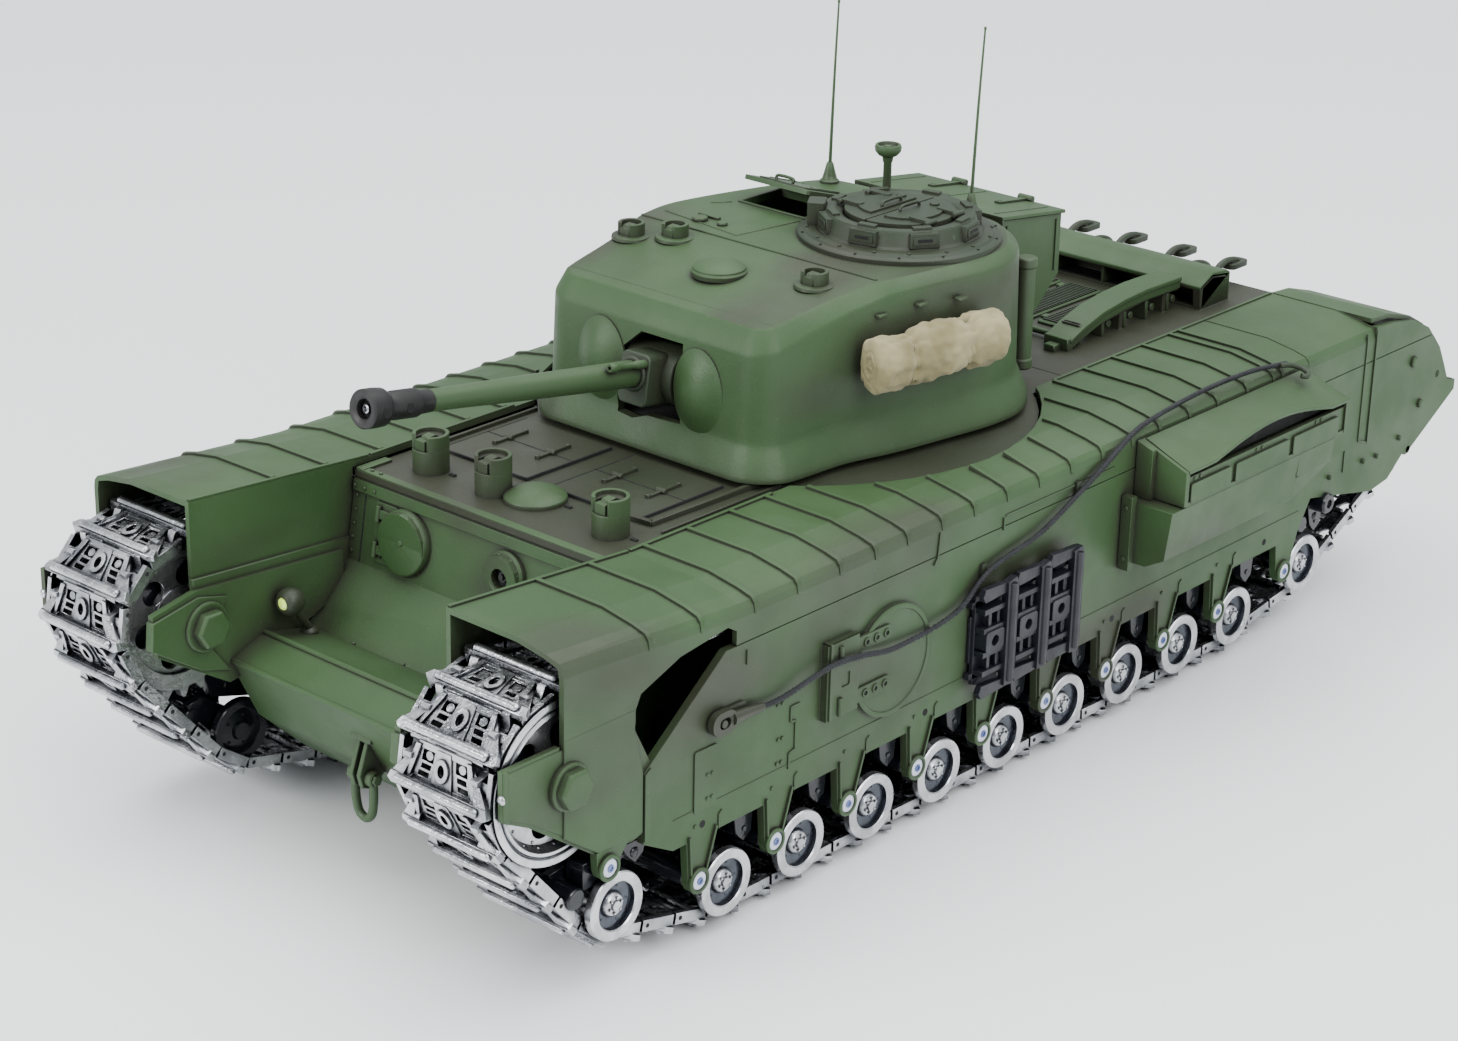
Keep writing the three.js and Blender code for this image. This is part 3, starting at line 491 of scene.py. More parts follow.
def belt_path(pulleys, offset):
    """Straight runs and arcs of a belt pulled tight round (y, z, radius) pulleys, as fine points."""
    turns = []
    count = len(pulleys)
    for i, (y, z, r) in enumerate(pulleys):
        y2, z2, r2 = pulleys[(i + 1) % count]
        distance = hypot(y2 - y, z2 - z)
        turns.append(atan2(z2 - z, y2 - y) - pi / 2 + asin((r - r2) / distance))
    points = []
    for i, (y, z, r) in enumerate(pulleys):
        start = turns[i - 1]
        sweep = (turns[i] - start) % (tau)
        steps = max(2, int(sweep * 18))
        for k in range(steps + 1):
            a = start + sweep * k / steps
            points.append((y + (r + offset) * cos(a), z + (r + offset) * sin(a)))
    return points


def spaced(points, count):
    """count + 1 points at equal distances along a closed path, the last on the first."""
    loop = points + [points[0]]
    lengths = [0]
    for a, b in zip(loop, loop[1:]):
        lengths.append(lengths[-1] + dist(a, b))
    made, j = [], 0
    for i in range(count):
        s = lengths[-1] * i / count
        while lengths[j + 1] < s:
            j += 1
        t = (s - lengths[j]) / max(1e-9, lengths[j + 1] - lengths[j])
        made.append(tuple(p + (q - p) * t for p, q in zip(loop[j], loop[j + 1])))
    return made + made[:1]


def track_link():
    """One cast link: x across the track, y along it and z outward from the bed."""
    link = Shape()
    p = LINK_PITCH
    link.prism("z", [(-17.3, 11.7), (-16.3, 9.5), (16.3, 9.5), (17.3, 11.7), (16, 12.6), (-16, 12.6)],
               (0.9, 2.7))
    link.lathe("x", (10.9, 2.85), [(0, -14.4), (0.7, -14.3), (1.2, -13.7), (1.25, 13.7), (0.7, 14.3),
                                   (0, 14.4)], 12)
    half = Shape()
    half.prism("z", [(7.9, 0.3), (9.5, 0.3), (12.4, 9.7), (10.8, 9.7)], (0.1, 1.7))
    half.prism("z", circle((5.7, 3), 1.25, 12), (-0.6, 0.5))
    tip, root, end = (9.3, 0.6), (12.2, 9.6), (16.5, 9.8)
    half.add([(*tip, 0.1), (*root, 0.1), (*end, 0.4), (*tip, 0.7), (*root, 2.5), (*end, 2.3)],
             [(0, 2, 1), (3, 4, 5), (0, 1, 4, 3), (1, 2, 5, 4), (2, 0, 3, 5)])
    half.box((14.7, 16.2), (0.5, p - 0.5), (-2.3, 0.9))
    half.box((10, 15.5), (3.6, 6), (0, 0.8))
    half.box((9.6, 15), (8.8, 11.2), (0, 0.8))
    half.rod("x", (p - 0.6, 0.4), 1, (3.6, 12.5), 10)
    # A small black disc at the outer end of each link is painted shade in a hole.
    half.place = 1
    half.rod("x", (2.3, -0.8), 0.62, (16.1, 16.32), 10)
    link.include(half.doubled())
    holes = [[(side * x0, y0), (side * x1, y0), (side * (x1 + 0.4), y1), (side * (x0 + 0.3), y1)]
             for side in (-1, 1) for x0, x1, y0, y1 in LINK_HOLES]
    middle = (0, 5)
    link.prism("z", [(-9.2, 0.3), (9.2, 0.3), (12.2, 9.8), (-12.2, 9.8)], (0.1, 0.9),
               holes + [circle(middle, 1.3, 12)])
    link.prism("z", [(-2.2, 0.2), (2.2, 0.2), (2.9, 5), (3.7, 9.8), (-3.7, 9.8), (-2.9, 5)], (0.1, 1.4),
               [circle(middle, 1.35, 12)])
    link.prism("z", oval(middle, 2.3, 3.1, 14), (1, 2.1), [oval(middle, 1.15, 1.7, 14)])
    for y0, y1, half in ((0.1, 1.3, 9.2), (9.2, 10, 12.2)):
        link.box((-half, half), (y0, y1), (0.1, 1.15))
    link.rod("x", (-0.1, 0.3), 0.95, (-9, 9), 10)
    return link


def build_tracks():
    pulleys = [(*IDLER, BED_R), *[(*WHEELS[i], WHEEL_R + 0.3) for i in (0, 1, 9, 10)], (*SPROCKET, BED_R)]
    path = belt_path(pulleys, 0.1)
    length = sum(dist(a, b) for a, b in zip(path, path[1:] + path[:1]))
    count = round(length / LINK_PITCH)
    hinges = spaced(path, count)
    link = track_link()
    middle = (TRACK_X[0] + TRACK_X[1]) / 2
    belt = Shape()
    for (y0, z0), (y1, z1) in zip(hinges, hinges[1:]):
        reach = hypot(y1 - y0, z1 - z0)
        along = ((y1 - y0) / reach, (z1 - z0) / reach)
        out = (along[1], -along[0])
        stretch = reach / LINK_PITCH
        belt.include(link, Matrix(((1, 0, 0, middle), (0, along[0] * stretch, out[0], y0),
                                   (0, along[1] * stretch, out[1], z0), (0, 0, 0, 1))))
    both("track_links", belt, "hull", [CAST, SHADE_BLACK], "track", bevel=0.16)


# ---- wheels

def build_road_wheels():
    for number, (y, z) in enumerate(WHEELS, 1):
        profile = [(0, 55.6), (2.4, 55.6), (2.8, 56.6), (6.3, 57.2), (6.9, 55.9), (9.2, 55.7), (9.5, 56),
                   (9.5, 58),
                   (9.2, 58.3), (6.4, 58.8), (6.3, 61), (2.1, 61.4), (2.1, 80), (6.3, 80.4), (6.4, 86.3),
                   (9.2, 86.7),
                   (9.5, 87), (9.5, 89), (9.2, 89.35), (6.9, 89.4), (6.55, 89.1), (6.3, 87.7), (3.7, 87.2),
                   (3.2, 88.2), (2.8, 88.5), (1.5, 88.6), (1.3, 89.2), (0, 89.3)]
        bands = [1 if t < 62 else (2 if 6.4 > r > 3.4 and t > 86.9 else 0) for r, t in profile[1:]]
        wheel = Shape().lathe("x", (y, z), profile, 44, bands)
        for spot in circle((y, z), 2.15, 6, 0.3):
            wheel.hexbolt("x", spot, 0.42, 88.3, 0.75)
        wheel.place = 2
        for spot in circle((y, z), 5, 5):
            wheel.dome("x", spot, 0.42, 87.2, 0.5, 8)
        wheel.place = 1
        for spot in circle((y, z), 4.6, 5):
            wheel.dome("x", spot, 0.4, 56.9, -0.6, 8)
        for side, made in (("left", wheel), ("right", wheel.mirrored())):
            name = f"road_wheel_{side}_{number:02d}"
            piece(f"{name}_cast", made, name, [SILVER, BLACK, SILVER_DISH], 0, 30, stands_for=(name,))


def toothed_ring(centre, ends):
    corners = ((-0.075, 21.9), (-0.022, 24.4), (0.022, 24.4), (0.075, 21.9), (0.13, 21.2))
    rows = [circle(centre, r, TEETH, turn) for turn, r in corners]
    outline = [spot for tooth in zip(*rows) for spot in tooth]
    return Shape().prism("x", outline, ends, [circle(centre, 17, 40)])


def toothed_wheel(centre, hub_from, hub_to):
    wheel = Shape()
    wheel.include(toothed_ring(centre, (57, 59.6)))
    wheel.include(toothed_ring(centre, (80.2, 82.6)))
    wheel.lathe("x", centre, [(17, 81.6), (20, 81.6), (20, 86.2), (22, 86.3), (22.1, 86.8), (21, 87.1),
                              (20.2, 86.9),
                              (19.7, 86.2), (19.2, 86.9), (18.4, 86.9), (18, 85.6), (17, 84.4), (17, 81.6)], 72)
    wheel.lathe("x", centre, [(16.8, 56.4), (21.3, 56.4), (21.3, 60), (16.8, 60), (16.8, 56.4)], 56)
    holes = [circle(spot, 3.6, 22) for spot in circle(centre, 11.9, 6, 0.25)]
    wheel.prism("x", circle(centre, 17.4, 64), (83, 84.2), holes)
    wheel.prism("x", circle(centre, 17.2, 48), (57.6, 58.8), holes)
    for spot in circle(centre, 17.6, 20):
        wheel.dome("x", spot, 0.5, 84.4, 0.9, 8)
    for spot in circle(centre, 16.3, 12, 0.1):
        wheel.dome("x", spot, 0.45, 84.1, 0.5, 8)
    wheel.lathe("x", centre, [(0, hub_from), (4, hub_from), (4.2, 56), (8.4, 57.2), (8.4, 60), (6.4, 61),
                              (6.4, 78), (8.2, 82.6),
                              (8.2, 84.6), (7.4, 85.2), (5.6, 85.2), (5, 85.3), (4.2, 85.3), (4, hub_to),
                              (0, hub_to)], 36)
    wheel.place = 1
    wheel.lathe("x", centre, [(5.5, 61.5), (16.9, 61.5), (16.9, 82.2), (5.5, 79), (5.5, 61.5)], 40)
    return wheel


def build_toothed_wheels():
    for name, centre, span in (("idler", IDLER, (50.4, 85.4)), ("sprocket", SPROCKET, (50.4, 86.8))):
        wheel = toothed_wheel(centre, *span)
        for side, made in (("left", wheel), ("right", wheel.mirrored())):
            piece(f"{name}_{side}_cast", made, f"{name}_{side}", [SILVER, BLACK], 0.14, 32,
                  stands_for=(f"{name}_{side}",))


# ---- suspension

def build_suspension():
    bogies = Shape()
    for x0, x1 in ((61.6, 64.4), (76.6, 79.4)):
        bogies.prism("x", [(-50, 42), (-47, 34), (-30, 29), (282, 29), (292, 36), (288, 42)], (x0, x1))
    for y in (18, 108, 198, 268):
        bogies.box((49.4, 87.2), (y - 4, y + 4), (34, 44))
    for i, (y, z) in enumerate(WHEELS):
        lift = z - 14
        for x0, x1 in ((62, 64.4), (76.6, 79)):
            bogies.prism("x", [(y - 14, 31 + lift * 0.3), (y - 8, 32 + lift * 0.3), (y + 4.2, z + 2.5),
                               (y + 4.2, z - 3),
                                    (y + 1.5, z - 4.4), (y - 2.5, z - 4.2), (y - 10, 23 + lift * 0.5)],
                                    (x0, x1))
        bogies.rod("x", (y, z), 2, (61.2, 80.6), 14)
        bogies.rod("x", (y, z), 4.4, (61.4, 65.2), 18, 0.4)
        bogies.rod("x", (y, z), 4.4, (76, 80), 18, 0.4)
        bogies.rod("x", (y - 12.5, 20 + lift), 3, (61.5, 87.3), 16, 0.4)
        bogies.box((80.5, 86.4), (y - 9.5, y - 2), (21 + lift, 38))
        bogies.prism("x", [(y + 4, 38), (y + 6, 25 + lift), (y + 9, 22 + lift), (y + 12, 24 + lift),
                           (y + 13.4, 38)], (84.2, 86.8))
        bogies.dome("x", (y + 8.6, 31 + lift * 0.4), 1.5, 86.6, 0.9, 12)
        bogies.hexbolt("x", (y + 9.2, 25.6 + lift), 0.9, 86.6, 0.6)
        turns = circle((70.5, y - 1), 3.6, 10) * 6
        coil = [(*spot, z + 4 + (34 - z) * k / 60 * 0.8) for k, spot in enumerate(turns)]
        bogies.tube(coil, 0.75, 8)
        bogies.rod("z", (70.5, y - 1), 1.8, (z + 2, 35), 12)
        if i in (0, 10):
            bogies.rod("x", (y + 2, z + 12), 3, (61.5, 86.5), 16, 0.4)
    both("suspension_bogies", bogies, "hull", BLACK, "suspension", bevel=0.25)
    roller = Shape().lathe("x", (288, 39), [(0, 80), (2.6, 80), (3.4, 81), (3.4, 91.2), (2.9, 91.9),
                                            (1.5, 91.9), (1.3, 91.2), (0, 91.2)], 24)
    both("tail_roller", roller, "hull", BLACK, bevel=0)


build_tracks()
build_road_wheels()
build_toothed_wheels()
build_suspension()


# ---- hull

def on_face(origin, normal, up):
    """Local x, y and z run right, up and out on a face whose corner is at origin."""
    out = Vector(normal).normalized()
    top = (Vector(up) - out * Vector(up).dot(out)).normalized()
    right = top.cross(out)
    return Matrix((*zip(right, top, out, origin), (0, 0, 0, 1)))


SIDE_FACE = on_face((SIDE, 0, 0), (1, 0, 0), (0, 0, 1))       # local x is y and local y is z
DECK_FACE = on_face((0, 0, 93.4), (0, 0, 1), (0, 1, 0))
DRIVER_FACE = on_face((0, -7 + 10.5 * 4 / 23.3, 78.5), (0, -0.985, 0.169), (0, 0, 1))


def strip(shape, points, width, height):
    """A raised flat strip along points of the local plane."""
    for (x0, y0), (x1, y1) in zip(points, points[1:]):
        run = Vector((x1 - x0, y1 - y0)).normalized()
        side = Vector((-run.y, run.x)) * (width / 2)
        ahead = run * (width * 0.2)
        start, end = Vector((x0, y0)) - ahead, Vector((x1, y1)) + ahead
        shape.prism("z", [start + side, start - side, end - side, end + side], (-0.3, height))


def rounded(x0, x1, y0, y1, r, steps=4):
    made = []
    for cx, cy, a0 in ((x1 - r, y1 - r, 0), (x0 + r, y1 - r, 90), (x0 + r, y0 + r, 180), (x1 - r, y0 + r, 270)):
        for k in range(steps + 1):
            a = radians(a0 + 90 * k / steps)
            made.append((cx + r * cos(a), cy + r * sin(a)))
    return made


GUARD_TOP = [(50.6, 95.5), (74, 95.3), (84, 93.6), (88.4, 92.4), (89.6, 91), (89.95, 89)]


def guard_rise(y):
    """How much the front of the track guard rises or drops from the level run."""
    return 0.07 * (3 - y) if y < 3 else 0


def guard_rib(shape, y, inner=50.6, width=1.5, height=0.75):
    section = [(x, z + guard_rise(y)) for x, z in GUARD_TOP if x > inner + 0.5]
    x0 = GUARD_TOP[0][0] if inner <= GUARD_TOP[0][0] else inner
    section.insert(0, (x0, 95.5 + guard_rise(y)))
    out = [(x + (height * 0.35 if x > 86 else 0), z + height) for x, z in section[:-1]]
    out.append((section[-1][0] + height * 0.4, section[-1][1] + 0.1))
    below = [(x, z - 0.4) for x, z in section]
    shape.prism("y", below + out[::-1], (y - width / 2, y + width / 2))


def build_guards():
    ribs = Shape()
    spots = [-31, -12, 8.5, 25.3, 42.4, 57, 70.7, 85.7, 100, 115, 130, 145, 160, 175, 189, 204.6, 219.6, 235.7,
             250.5, 255.5]
    for y in spots:
        reach = 75.6 ** 2 - (y - RING[1]) ** 2
        inner = sqrt(reach) + 1.2 if reach > 0 else 50.6
        guard_rib(ribs, y, max(50.6, inner))
    for y in (271, 311):
        guard_rib(ribs, y, width=0.7, height=0.25)
    for y0, y1 in ((-61, 2.8), (3.6, 60)):
        ribs.prism("x", [(y0, 95.5 + guard_rise(y0)), (y1, 95.5 + guard_rise(y1)), (y1, 96.1 + guard_rise(y1)),
                         (y0, 96.1 + guard_rise(y0))],
                   (49.5, 50.6))
    ribs.prism("x", [(190, 95.4), (310, 95.4), (310, 96), (190, 96)], (49.5, 50.5))
    both("guard_ribs", ribs, "hull", PAINT, bevel=0.25, segments=2)
    skirt = Shape()
    skirt.prism("x", [(-62, 74.7), (-10, 71), (-9.6, 62), (-3.2, 66), (-3.2, 74), (-62, 78)], (48.4, 50.4))
    both("guard_skirt", skirt, "hull", PAINT, bevel=0.2)


def build_side_details():
    side, bolts, shade_marks = (Shape(SIDE_FACE) for _ in range(3))
    spots = [(y - 12.5, 20) for y, _ in WHEELS[1:10]] + [(-46, 36.8), (265.3, 22.1)]
    for y, z in spots:
        side.lathe("z", (y, z), [(2.6, 0.2), (3.7, 0.2), (3.7, 0.9), (3.3, 1.25), (2.8, 1.25), (2.6, 1),
                                 (2.6, 0.2)], 26)
        bolts.place = 0
        bolts.lathe("z", (y, z), [(0, 0.3), (2.5, 0.3), (2.5, 0.75), (2.2, 0.95), (0, 0.95)], 22)
        bolts.place = 1
        bolts.lathe("z", (y, z), [(0, 0.9), (1.15, 0.9), (1.1, 1.2), (0.62, 1.25), (0.6, 1), (0, 1)], 14)
    for y, _ in WHEELS[1:10]:
        b = y - 12.5
        strip(side, [(b - 2.9, 22.5), (b - 3.6, 33.5)], 0.7, 0.8)
        strip(side, [(b + 2.9, 22.5), (b + 6.6, 33.5)], 0.7, 0.8)
        strip(side, [(b + 7.8, 32.2), (b + 7.8, 36.2), (b + 9, 37)], 0.5, 0.35)
        side.hexbolt("z", (b - 1.3, 35.9), 0.6, -0.1, 0.5)
    # Black discs below are painted shade inside the holes.
    for y in (-10.9, 81.1, 170.2, 252.9):
        shade_marks.rod("z", (y, 35.6), 1.05, (-0.1, 0.06), 14)
    strip(side, [(-22, 40.6), (272, 40.6)], 0.35, 0.18)
    side.prism("z", [(-33, 38.8), (-30.8, 38.8), (-30.8, 59), (-33, 57.6)], (-0.2, 0.5))
    side.prism("z", rounded(-14.6, -6, 39.8, 57.2, 0.6, 2), (-0.2, 0.45))
    for y, z in ((-9.8, 49.5), (-8, 49.5), (-9.8, 42.7), (-8, 42.7)):
        side.hexbolt("z", (y, z), 0.55, 0.4, 0.4)
    strip(side, [(26.5, 57.2), (23, 57.2), (23, 53), (25, 52.6), (25, 44.4), (22.6, 43.8), (22.6, 39.4)], 0.6,
          0.4)
    for y, z in ((17.8, 59.5), (18.2, 49.3), (17.9, 42.4), (19.6, 59.5), (19.8, 49.3), (19.6, 42.4)):
        side.hexbolt("z", (y, z), 0.6, -0.1, 0.55)
    side.lathe("z", (64, 57.5), [(14.6, 1), (16.2, 1), (16.25, 1.35), (15.7, 1.6), (14.8, 1.5), (14.6, 1)], 56)
    side.prism("z", [(35, 49), (48, 49), (48, 71), (35, 71)], (1.6, 2.35),
               [rounded(41, 44.4, 57.4, 61.4, 0.3, 1)])
    strip(side, [(36.2, 49.4), (36.2, 71.4)], 1, 2.9)
    for z in (52.2, 67.2):
        side.prism("z", rounded(46.6, 62.4, z - 2.1, z + 2.1, 1.6), (1, 1.9))
        side.rod("y", (40.2, 2.6), 0.8, (z - 2.6, z + 2.6), 10)
        for y in (51.6, 55.8, 60):
            side.lathe("z", (y, z), [(0.65, 1.8), (1.3, 1.8), (1.25, 2.3), (0.7, 2.3), (0.65, 1.8)], 12)
            # Black discs for painted shade inside the rings' holes.
            shade_marks.rod("z", (y, z), 0.7, (1.8, 1.98), 10)
    # A black panel for painted shade behind the square opening.
    shade_marks.box((41, 44.4), (57.4, 61.4), (1.5, 1.72))
    for y0, z0, y1, z1 in ((5, 79.4, 5, 75.6), (84, 88.5, 83.2, 81.4)):
        strip(side, [(y0, z0), (y1, z1)], 0.5, 0.5)
    strip(side, [(83.2, 81.4), (81.8, 79.6)], 0.5, 0.5)
    strip(side, [(113, 84.4), (113, 81)], 0.6, 0.5)
    strip(side, [(114, 84.9), (166, 84.9)], 0.6, 0.3)
    strip(side, [(311, 92), (311, 53.6)], 0.8, 0.55)
    strip(side, [(305.4, 92), (305.4, 55.6), (311, 53.6)], 0.6, 0.4)
    strip(side, [(297.5, 54), (297.5, 47)], 0.6, 0.4)
    for y, z, r in ((336.8, 75, 1.9), (343.6, 58.8, 1.5), (332, 49.6, 0.9), (309.6, 47.5, 0.9), (318, 47, 0.8),
                    (289, 47.5, 0.8)):
        side.lathe("z", (y, z), [(0, -0.1), (r, -0.1), (r, 0.9), (r * 0.75, 1.3), (0, 1.4)], 16)
    both("side_fittings", side, "hull", PAINT, bevel=0.14)
    both("side_screws", bolts, "hull", [WASHER, SCREW], bevel=0)
    both("side_hole_shade", shade_marks, "hull", SHADE_BLACK, bevel=0)


def build_horn_details():
    horn = Shape()
    horn.lathe("x", IDLER, [(0, 89.4), (6.4, 89.4), (6.4, 91), (6, 91.4), (0, 91.4)], 32)
    horn.lathe("x", IDLER, [(0, 91), (5.6, 91), (5.6, 93.4), (4.9, 94), (0, 94)], 6)
    horn.prism("x", [(-61.4, 77), (-61.4, 50.4), (-49.2, 41.8), (-36.2, 41), (-33.3, 41.6), (-33.3, 58.4),
                     (-36.4, 71), (-36.4, 77)],
               (89, 90.1))
    horn.prism("x", [(-81.4, 74.6), (-61, 74.6), (-61, 50.8), (-72.4, 58.6), (-81.4, 62.8)], (88.9, 89.5))
    horn.prism("x", [(-81.4, 75.4), (-81.4, 62.2), (-79.6, 61.2), (-79.6, 75.4)], (87.7, 89.6))
    both("horn_bosses", horn, "hull", PAINT, bevel=0.4, segments=2)
    screw = Shape()
    screw.dome("y", (88.7, 68), 1.3, -81.4, -0.7, 16)
    screw.dome("y", (88.7, 68), 0.5, -82, -0.3, 8)
    inner = Shape()
    inner.dome("x", (-72.6, 62.4), 2, -46.8, -0.9, 18)
    inner.dome("x", (-72.6, 62.4), 2, 46.8, -0.9, 18)
    both("horn_screws", screw, "hull", SILVER, bevel=0)
    piece("nose_screws", inner, "hull", SILVER, bevel=0)
    boss = Shape()
    boss.lathe("x", IDLER, [(0, 46.8), (7.2, 46.8), (7.2, 45.6), (6.8, 45.2), (0, 45.2)], 28)
    boss.lathe("x", IDLER, [(0, 45.4), (5.5, 45.4), (5.5, 42.6), (4.9, 42), (0, 42)], 6)
    boss.prism("x", [(-77.6, 70.6), (-62, 73.6), (-52, 71), (-60, 60), (-52, 49), (-62, 52), (-78.4, 62.6)],
               (46.2, 49.2))
    piece("nose_bosses", boss.doubled(), "hull", PAINT, bevel=0.4, segments=2)


def build_hull_front():
    front, shade_marks, gun = (Shape(DRIVER_FACE) for _ in range(3))
    front.lathe("z", (-26, 0), [(0, 2.6), (7.9, 2.6), (9.1, 2.2), (9.5, 1.4), (9.5, -0.2), (0, -0.2)], 44)
    front.lathe("z", (-26, 0), [(0, 2.5), (1, 2.5), (0.9, 2.95), (0, 3)], 10)
    front.prism("z", rounded(-38.6, -30, -8.4, 8.8, 0.8, 2), (-0.2, 0.9))
    for v in (5.6, -4.6):
        front.prism("z", rounded(-37.2, -31.2, v - 1.3, v + 1.3, 0.5, 2), (0.8, 1.9))
        front.rod("y", (-36.6, 1.7), 0.85, (v - 2.3, v + 2.3), 12)
        # Black slots for painted shade in the gaps by the hinges.
        shade_marks.box((-35, -34.2), (v - 2.4, v + 1), (0.8, 1))
    strip(front, [(-28, 4.2), (-22, 3.8)], 0.5, 2.95)
    # A thin black line for painted shade in a seam.
    strip(shade_marks, [(-43.8, -10.4), (-43.8, 9)], 0.5, 0.06)
    front.prism("z", [(-48.6, 9.4), (48.6, 9.4), (48.6, 12.8), (-48.6, 12.8)], (-0.6, 0.9))
    for u in (-47.6, -43.6, -39.6):
        front.hexbolt("z", (u, 11), 0.6, 0.8, 0.6)
    for v in (8.2, 4, 0, -4, -8):
        front.hexbolt("z", (-47.2, v), 0.6, -0.1, 0.6)
    front.lathe("z", (13, 1.5), [(4, -0.2), (7.2, -0.2), (7.2, 1.4), (6.6, 2), (5, 2.2), (4.5, 2.8), (4, 2.6),
                                 (4, -0.2)], 40)
    for spot in circle((13, 1.5), 5.9, 8, 0.3):
        front.dome("z", spot, 0.65, 1.9, 0.6, 8)
    # A black disc for painted shade inside the hull gun's mount.
    shade_marks.rod("z", (13, 1.5), 4.1, (0.1, 0.5), 28)
    piece("driver_plate_fittings", front, "hull", PAINT, bevel=0.25, segments=2)
    gun.rod("z", (13, 1.5), 1.5, (0.45, 1.6), 20)
    gun.rod("z", (13, 1.5), 0.8, (0.5, 2.4), 14)
    piece("hull_gun_ball", gun, "hull", GUNMETAL, bevel=0)
    piece("driver_plate_gap_shade", shade_marks, "hull", SHADE_BLACK, bevel=0)

    nose = Shape()
    nose.rod("x", (-39.2, 56), 0.9, (-48.8, 48.8), 12)
    nose.rod("x", (-50.9, 51.3), 0.8, (-48.8, 48.8), 12)
    for x in (-30, -10, 10, 30):
        nose.dome("x", (-22, 52.2), 0.5, x, 0.6, 8)
    piece("nose_welds", nose, "hull", PAINT, bevel=0)

    lugs = Shape()
    for x0 in (-2.2, 0.8):
        lugs.prism("x", [(-45, 45), (-49.6, 32.4), (-48.6, 28.6), (-46, 27.6), (-43.6, 28.4), (-39.6, 33),
                         (-41.5, 40)], (x0, x0 + 1.5))
    lugs.prism("x", [(-45.6, 46.4), (-47.4, 41.6), (-43.4, 40.6), (-41.4, 44.4)], (-4, 4))
    piece("tow_lugs", lugs, "hull", PAINT_CLEAN, bevel=0.3, segments=2)
    y, z = -46, 31
    bow = Shape()
    route = smooth_path([(-3.5, y, z + 0.4), (-3.6, y, z - 4), (-3.4, y, z - 8), (-2.4, y, z - 11.4),
                         (0, y, z - 12.8),
                         (2.4, y, z - 11.4), (3.4, y, z - 8), (3.6, y, z - 4), (3.5, y, z + 0.4)], 5)
    bow.tube(route, 1.25, 12)
    ear = Shape().lathe("x", (y, z), [(0, 2.4), (2.3, 2.4), (2.3, 4.4), (1.9, 4.8), (0, 4.8)], 20)
    bow.include(ear.doubled())
    bow.rod("x", (y, z), 1.15, (-4.9, 4.9), 14)
    bow.hexbolt("x", (y, z), 1.7, 4.7, 0.9)
    piece("tow_shackle_bow", bow, "tow_shackle", PAINT_CLEAN, bevel=0, stands_for=("tow_shackle",))


def build_headlight():
    x, y, z = HEADLIGHT
    lamp = Shape()
    lamp.lathe("y", (x, z), [(0, y + 3.8), (1.4, y + 3.6), (2.6, y + 2.9), (3.5, y + 1.6), (3.9, y),
                             (3.9, y - 1.2), (3.5, y - 2.4),
                             (2.7, y - 3.2), (1.9, y - 3.4), (1.8, y - 2.8), (0, y - 2.8)], 36)
    foot = (x - 1, y + 7.1, z - 10.8)
    lamp.tube(smooth_path([(x, y + 1, z - 2), (x - 0.4, y + 4.4, z - 7), foot], 5), 1.15, 14)
    lamp.lathe("z", foot[:2], [(0, 52.6), (2.4, 52.6), (2.4, 53.8), (1.4, 54.8), (0, 54.8)], 20)
    piece("headlight_shell", lamp, "hull", PAINT_DARK, bevel=0.2, stands_for=("headlight",))
    lens = Shape()
    lens.dome("y", (x, z), 1.8, y - 2.9, -0.9, 24)
    piece("headlight_lens", lens, "hull", LENS, bevel=0)


def periscope(shape, x, y, base, height, radius):
    """A round armoured sight mount with a C-shaped rim, open towards the bow."""
    top = base + height
    outline, gap = [], 0.62
    for k in range(25):
        a = -pi / 2 + gap + (tau - 2 * gap) * k / 24
        outline.append((x + radius * cos(a), y + radius * sin(a)))
    for k in range(25):
        a = -pi / 2 + gap * 0.8 + (tau - 1.6 * gap) * (24 - k) / 24
        outline.append((x + (radius - 1.1) * cos(a), y + (radius - 1.1) * sin(a)))
    shape.prism("z", outline, (top - 4.6, top))
    shape.rod("z", (x, y), radius, (base, top - 4.4), 28)
    shape.box((x - 1.9, x + 1.9), (y - radius + 0.9, y + 1.4), (top - 5, top - 1.4))
    shape.prism("x", [(y - 2.6, top - 1.6), (y + 1, top - 1.6), (y + 0.6, top - 0.5), (y - 2, top - 0.7)],
                (x - 1.5, x + 1.5))


